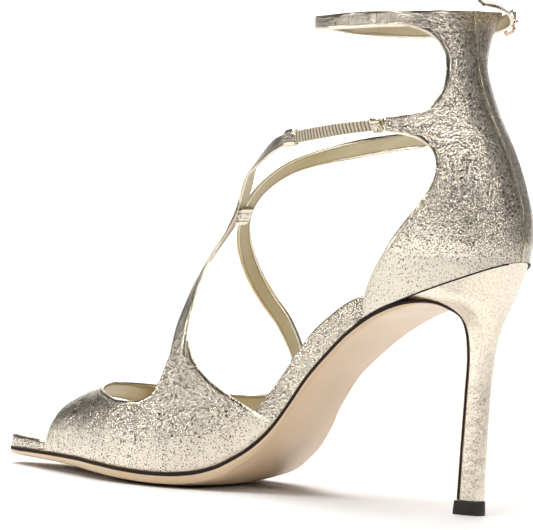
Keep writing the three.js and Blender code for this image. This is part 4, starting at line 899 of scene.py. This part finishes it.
def outsole_rings(line, out):
    """Sections square to the sole's line: a flat top, an upright painted edge, a rounded bevel
    and a crowned underside that is flat where it meets the floor."""
    medial, lateral, edge, crown = (line[:, [column]] for column in (2, 3, 4, 5))
    bevel = np.minimum(BEVEL, (medial + lateral) * BEVEL_SHARE)
    down, turn = np.linspace(0, 1, 6), np.linspace(0, math.pi / 2, 9)[1:]
    side = np.hstack([edge * down, edge + crown * CROWN_SIDE * np.sin(turn)])
    share = 1 - 2 * np.arange(1, 20) / 20
    middle = edge + crown * (CROWN_SIDE + (1 - CROWN_SIDE) * (1 - np.abs(share) ** 2.2))
    medial_side, lateral_side = (
        np.hstack([half + EDGE_SWELL * np.sin(math.pi * down), half - bevel * (1 - np.cos(turn))])
        for half in (medial, lateral))
    y = np.hstack([medial_side, share * (np.where(share > 0, medial, lateral) - bevel),
                   -lateral_side[:, ::-1]])
    d = np.hstack([side, middle, side[:, ::-1]])
    rings = joined(line[:, [0]] + out[:, [0]] * d, y, np.maximum(line[:, [1]] + out[:, [1]] * d, 0))
    rings[-1, :, 0] = line[-1, 0] + d[-1]
    rings[-1, :, 2] = LIFT_HEIGHT + FIT_GAP
    return rings


sole_leather, tree, shader, where = new_material("polished_nude_sole_leather", Roughness=0.32)
# Vegetable-tanned sole leather, buffed and polished: a broad soft gloss and faint fibres about
# a millimetre apart.
finish_shader(tree, shader, noise(tree, where, 1.2, 4.0), 0.15, 0.0001,
              mixed(tree, noise(tree, where, 30), "#D6B995", "#DFC5A6"))
edge_paint, tree, shader, where = new_material(
    "black_brown_edge_paint", Base_Color=linear("#20150E"), Roughness=0.6, Specular_IOR_Level=0.25)
# Thick acrylic edge paint, wiped on: satin, with a slight orange peel 1.5 mm apart.
finish_shader(tree, shader, noise(tree, where, 1.5), 0.3, 0.0001)

sole_rings = outsole_rings(sole_line, sole_out)
sole_points, sole_faces = closed_loft(sole_rings)
sole_round = sole_rings.shape[1]
# The toe's blunt tip is closed by level rungs, so the paint goes round it.
toe_middle, sole_half = len(sole_rings) * sole_round, sole_round // 2
sole_faces = [f for f in sole_faces if toe_middle not in f]
sole_faces += [(k, k + 1, sole_round - 2 - k, sole_round - 1 - k) for k in range(sole_half - 1)]
sole_faces += [(sole_half - 1, sole_half, sole_half + 1)]
painted = {*range(4), *range(sole_round - 5, sole_round - 1)}
outsole = outward(make_piece("turned_outsole", sole_points, sole_faces, [sole_leather, edge_paint],
                             slots_round(sole_faces, sole_round, painted)))
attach(outsole, "root")
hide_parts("outsole")

# The heel: a moulded plastic stiletto with a steel pin, covered with the upper's leather. The
# cover is pulled round from the breast, so it creases finely down its back.
# height, back, middle, front, half width
HEEL = thousandths(
    (59, -23, 0, 22, 94), (270, -22.5, 0, 21, 92), (470, -22.8, 0, 18, 98),
    (620, -26.2, 0, 16, 118), (720, -32.5, 4, 16, 168), (775, -37.5, 12, 24, 245),
    (812, -41, 24, 45, 350), (840, -44.5, 45, 110, 442), (870, -48.5, 60, 150, 478),
    (910, -56, 70, 170, 488), (960, -64, 75, 170, 494), (1000, -70, 75, 170, 498))
heel_back, heel_middle, heel_front, heel_half = (
    through(HEEL, column, SEAT_HEIGHT, scale) for column, scale in
    ((1, SHOE_LENGTH), (2, SHOE_LENGTH), (3, SHOE_LENGTH), (4, HEEL_WIDTH)))


def heel_rings(z, grow=0, steps=96):
    """Level sections of the heel: a squared half ellipse behind its widest place and a
    straight run before it."""
    turn = math.pi * (np.linspace(0, 1, steps) - 0.5)
    z = z[:, None]
    half, middle, back, front = heel_half(z) + grow, heel_middle(z), heel_back(z) - grow, heel_front(z)
    y = half * np.sign(turn) * np.abs(np.sin(turn)) ** (2 / ROUND_CORNER)
    x = middle - (middle - back) * np.maximum(np.cos(turn), 0) ** (2 / ROUND_CORNER)
    return joined(np.concatenate([front, x, front], axis=1), np.concatenate([-half, y, half], axis=1), z)


def side_prism(name, side_view, half_across):
    """An upright prism across the shoe, from an outline in side view."""
    side_view = np.asarray(side_view)
    count = len(side_view)
    ends = [joined(side_view[:, 0], y, side_view[:, 1]) for y in (-half_across, half_across)]
    faces = [tuple(f) for f in grid_faces(2, count, close_columns=True)]
    faces += [tuple(range(count)), tuple(range(2 * count - 1, count - 1, -1))]
    return outward(make_piece(name, np.concatenate(ends), faces, []))


def carve(piece, tool, operation):
    """Cuts or trims a piece by a tool, keeps the result as its mesh and throws the tool away."""
    cut = piece.modifiers.new("cut", "BOOLEAN")
    cut.operation = operation
    cut.solver = "EXACT"
    cut.object = tool
    done = bpy.data.meshes.new_from_object(piece.evaluated_get(bpy.context.evaluated_depsgraph_get()))
    piece.modifiers.clear()
    piece.data = done
    bpy.data.objects.remove(tool)


# The heel's cover gets only faint painted shade in its crinkle's folds.
heel_nappa = make_nappa("pale_gold_foiled_nappa_on_heel", (1, 1, 0.5), "#F3E9D8", "#D9CDB7", 0.26,
                        0.00011, False)
heel_foot = LIFT_HEIGHT + FIT_GAP
heel_z = heel_foot + (SEAT_HEIGHT + 0.5 - heel_foot) * (1 - (1 - np.linspace(0, 1, 120)) ** 1.4)
heel = outward(make_piece("covered_heel", *closed_loft(heel_rings(heel_z)), [heel_nappa]))
prism_half = 60
seat_x = np.linspace(station(0), station(0.27), 80)
below_seat = [(x, feather_height(x)) for x in seat_x]
below_seat += [(station(0.27), 0), (station(0) - 20, 0), (station(0) - 20, SEAT_HEIGHT)]
carve(heel, side_prism("below_seat", below_seat, prism_half), "INTERSECT")
near_heel = sole_line[:, 0] < station(0.28)
breast = (sole_line[:, :2] - sole_out * FIT_GAP)[near_heel]
before_breast = np.concatenate([breast, [[breast[-1, 0], -5], [station(0.28), -5]]])
carve(heel, side_prism("before_breast", before_breast, prism_half), "DIFFERENCE")
heel = outward(heel)
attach(heel, "root")
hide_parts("heel")

# The seat line: a bead of edge paint, wiped along the joint of the upper with the heel's cover
# and the footbed's arch, from one side round the back to the other.
BEAD_HALF_WIDTH, BEAD_HALF_HEIGHT, BEAD_STEPS = 0.42, 0.36, 150
bead_run = np.linspace(station(0.262), station(0.008), BEAD_STEPS)
seat_x = np.concatenate([bead_run, bead_run[::-1]])
seat_side = np.repeat([1, -1], BEAD_STEPS)
seat_half = np.where(seat_side > 0, outline(seat_x, True), outline(seat_x, False))
seat_line = joined(seat_x, seat_side * (seat_half - 0.3), feather_height(seat_x) + 0.05)
seat_along = unit(np.gradient(seat_line, axis=0))
seat_up = unit(np.array([0, 0, 1]) - seat_along[:, [2]] * seat_along)
seat_across = np.cross(seat_along, seat_up)
bead_turn = full_turn(12)[None, :, None]
bead = (seat_line[:, None] + BEAD_HALF_WIDTH * seat_across[:, None] * np.cos(bead_turn)
        + BEAD_HALF_HEIGHT * seat_up[:, None] * np.sin(bead_turn))
seat_edge = outward(make_piece("painted_seat_line", *closed_loft(bead), [edge_paint]))
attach(seat_edge, "root")

# The top piece: charcoal polyurethane, moulded in one with a steel pin and driven up into the
# heel. It lies under the heel and the outsole's flap, and the shoe stands on it.
top_rubber, tree, shader, where = new_material(
    "moulded_charcoal_polyurethane", Base_Color=linear("#211E1B"), Roughness=0.5)
# Moulded hard rubber, satin, with a moulding grain 0.8 mm apart.
finish_shader(tree, shader, noise(tree, where, 0.8, 3.0), 0.3, 0.0001)
lift_front = BREAST[-1, 0] * SHOE_LENGTH + FLAP_EDGE + FLAP_CROWN
# height, growth beyond the heel's foot
lift_levels = [(0, 0.35), (0.15, 0.5), (0.4, 0.58), (2.0, 0.52), (4.6, 0.36), (5.1, 0.3), (5.3, 0.2),
               (LIFT_HEIGHT, 0.05)]
lift_rings = []
for height, grow in lift_levels:
    ring = heel_rings(np.array([BREAST[-1, 1] * SEAT_HEIGHT]), grow, 64)[0]
    ring[:, 0] = np.where(ring[:, 0] > 2, lift_front + grow, ring[:, 0])
    ring[:, 2] = height
    lift_rings.append(ring)
top_lift = outward(make_piece("top_piece", *closed_loft(np.array(lift_rings)), [top_rubber]))
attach(top_lift, "root")
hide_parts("top_lift")

# The elastic: a tube of ribbed champagne elastic between the inner instep strap and the
# counter's tab, with a small leather sleeve stitched round each end.
ELASTIC_WIDTH, ELASTIC_THICKNESS, RIB_PITCH, ELASTIC_STEPS = 4.9, 2.3, 1.5, 420
SLEEVE_WIDTH, SLEEVE_THICKNESS, LINE_STEPS = 7.0, 3.6, 200
# at, across, rise
ELASTIC = thousandths(
    (400.5, 363, 1240), (345, 384, 1264), (285, 389, 1288), (221.4, 372, 1307.5))
elastic_web, tree, shader, where = new_material("ribbed_champagne_elastic", Roughness=0.5, Metallic=0.35)
# Knitted lurex over rubber threads: matt yarn half a millimetre thick with metallic glints.
# The troughs between the ribs are painted dark brown, as painted shade.
yarn = noise(tree, where, 0.5)
# Painted shade: where the rib sinks, the colour turns dark brown.
unshaded_crest = ranged(tree, stored(tree, "rib"), 0.25, 0.8)
finish_shader(tree, shader, yarn, 0.6, 0.0002,
              mixed(tree, unshaded_crest, "#574C3B", mixed(tree, yarn, "#A8977A", "#EFE5D0")))
elastic_places = instep_places(ELASTIC)
elastic_line = smooth_line(elastic_places, LINE_STEPS)
elastic_length = np.linalg.norm(np.diff(elastic_line, axis=0), axis=1).sum()


def rib_rise(share):
    """Rounded swells across the elastic, one pitch apart."""
    return np.abs(np.sin(math.pi * share * elastic_length / RIB_PITCH)) ** 0.7


def ruched(share, width, thickness):
    """The elastic's width and thickness along it, swelling with each rib."""
    return width * (0.84 + 0.18 * rib_rise(share)), thickness * (0.55 + 0.45 * rib_rise(share))


elastic = make_strap("ribbed_elastic", elastic_places, np.ones(4), ELASTIC_WIDTH, ELASTIC_THICKNESS,
                     facing_instep, ELASTIC_STEPS, materials=[elastic_web, elastic_web], ripple=ruched)
# The rib's height is stored for the painted shade in its troughs.
store(elastic, "rib", np.repeat(rib_rise(np.linspace(0, 1, ELASTIC_STEPS)), STRAP_ROUND))
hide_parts("elastic")


def stretch_of(low, high):
    """Two places at shares of the elastic's run, which may pass its ends."""
    found = []
    for share in (low, high):
        t = min(max(share, 0), 1)
        at = min(int(t * (LINE_STEPS - 1)), LINE_STEPS - 2)
        step = elastic_line[at + 1] - elastic_line[at]
        found.append(elastic_line[at] + step * (t * (LINE_STEPS - 1) - at)
                     + unit(step) * (share - t) * elastic_length)
    return np.array(found)


def drawn_in(share, width, thickness):
    """A sleeve's width and thickness along it, drawn in at its two ends."""
    end = np.abs(2 * share - 1) ** 6
    return width * (1 - 0.12 * end), thickness * (1 - 0.25 * end)


for name, node, low, high in (("front_sleeve", "elastic_sleeve_front", -0.05, 0.09),
                              ("rear_sleeve", "elastic_sleeve_rear", 0.92, 1.015)):
    sleeve = make_strap(name, stretch_of(low, high), np.ones(2), SLEEVE_WIDTH, SLEEVE_THICKNESS,
                        facing_instep, 24, materials=[nappa, nappa], ripple=drawn_in)
    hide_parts(node)

# The buckle: a small rounded rectangle of rose gold plated wire, lying on the strap at the
# ankle's outer back corner, with its prong bent over the frame.
BUCKLE_HEIGHT, BUCKLE_LENGTH, BUCKLE_WIRE, PRONG_WIRE = 10, 9.5, 1.5, 1.1
BUCKLE_SHARE, BUCKLE_STEPS, SOLID_STRAP_THICKNESS, CORNER_RADIUS = 0.785, 2000, 1.4, 1.6
BUCKLE_LIFT = SOLID_STRAP_THICKNESS / 2 + FIT_GAP + BUCKLE_WIRE / 2
rose_gold, tree, shader, where = new_material(
    "polished_rose_gold_plating", Base_Color=linear("#DAC2B2"), Metallic=1.0)
# Rose gold flash over polished brass: a warm mirror with faint handling marks 2 mm apart.
dull = ranged(tree, noise(tree, where, 2, 3.0), 0.0, 1.0, 0.12, 0.28)
tree.links.new(dull, shader.inputs["Roughness"])
buckle_centre, buckle_along, buckle_out, buckle_across = (
    values[round(BUCKLE_SHARE * BUCKLE_STEPS)]
    for values in strap_frame(ankle_places, facing_ankle, BUCKLE_STEPS + 1))


def on_buckle(along, across, out):
    """Places from the buckle's own three directions."""
    return buckle_centre + joined(along, across, out) @ np.array([buckle_along, buckle_across, buckle_out])


def wire_rings(line, thickness, closed, sides=16):
    """Round sections along a line of places, square to it."""
    along = unit(np.roll(line, -1, 0) - np.roll(line, 1, 0) if closed else np.gradient(line, axis=0))
    out = unit(buckle_out - (along @ buckle_out)[:, None] * along)
    across = np.cross(along, out)
    turn = full_turn(sides)[None, :, None]
    size = np.asarray(thickness, dtype=float).reshape(-1, 1, 1) / 2
    return line[:, None] + (across[:, None] * np.cos(turn) + out[:, None] * np.sin(turn)) * size


straight_long = (BUCKLE_LENGTH - BUCKLE_WIRE) / 2 - CORNER_RADIUS
straight_tall = (BUCKLE_HEIGHT - BUCKLE_WIRE) / 2 - CORNER_RADIUS
corner_turn = np.radians(np.arange(0, 360, 7.5) + 3.75)
along, across = np.cos(corner_turn), np.sin(corner_turn)
frame_line = on_buckle(np.sign(along) * straight_long + CORNER_RADIUS * along,
                       np.sign(across) * straight_tall + CORNER_RADIUS * across, BUCKLE_LIFT)
frame_rings = wire_rings(frame_line, BUCKLE_WIRE, True)
frame_faces = grid_faces(*frame_rings.shape[:2], close_rows=True, close_columns=True)
buckle = outward(make_piece("buckle_frame_wire", frame_rings, frame_faces, [rose_gold]))
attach(buckle, "root")
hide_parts("buckle_frame")
reach = BUCKLE_LENGTH / 2
over = BUCKLE_LIFT + BUCKLE_WIRE / 2 + FIT_GAP + PRONG_WIRE / 2
# along, out of the prong's line, from its loop round the frame's bar to its tip
prong_stops = np.array([
    (-reach - 0.2, over - 0.5), (-reach + 0.6, over + 0.1), (-reach + 2, over), (0, over - 0.35),
    (reach - 1.6, over), (reach + 0.1, over + 0.05), (reach + 0.7, over - 0.3)])
prong_line = smooth_line(on_buckle(prong_stops[:, 0], 0, prong_stops[:, 1]), 60)
prong_size = PRONG_WIRE * (1 - 0.45 * smooth_step(np.linspace(0, 1, 60), 0.8, 1.0))
prong_rings = wire_rings(prong_line, prong_size, False)
prong = outward(make_piece("buckle_prong_wire", *closed_loft(prong_rings), [rose_gold]))
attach(prong, "root")
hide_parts("buckle_prong")
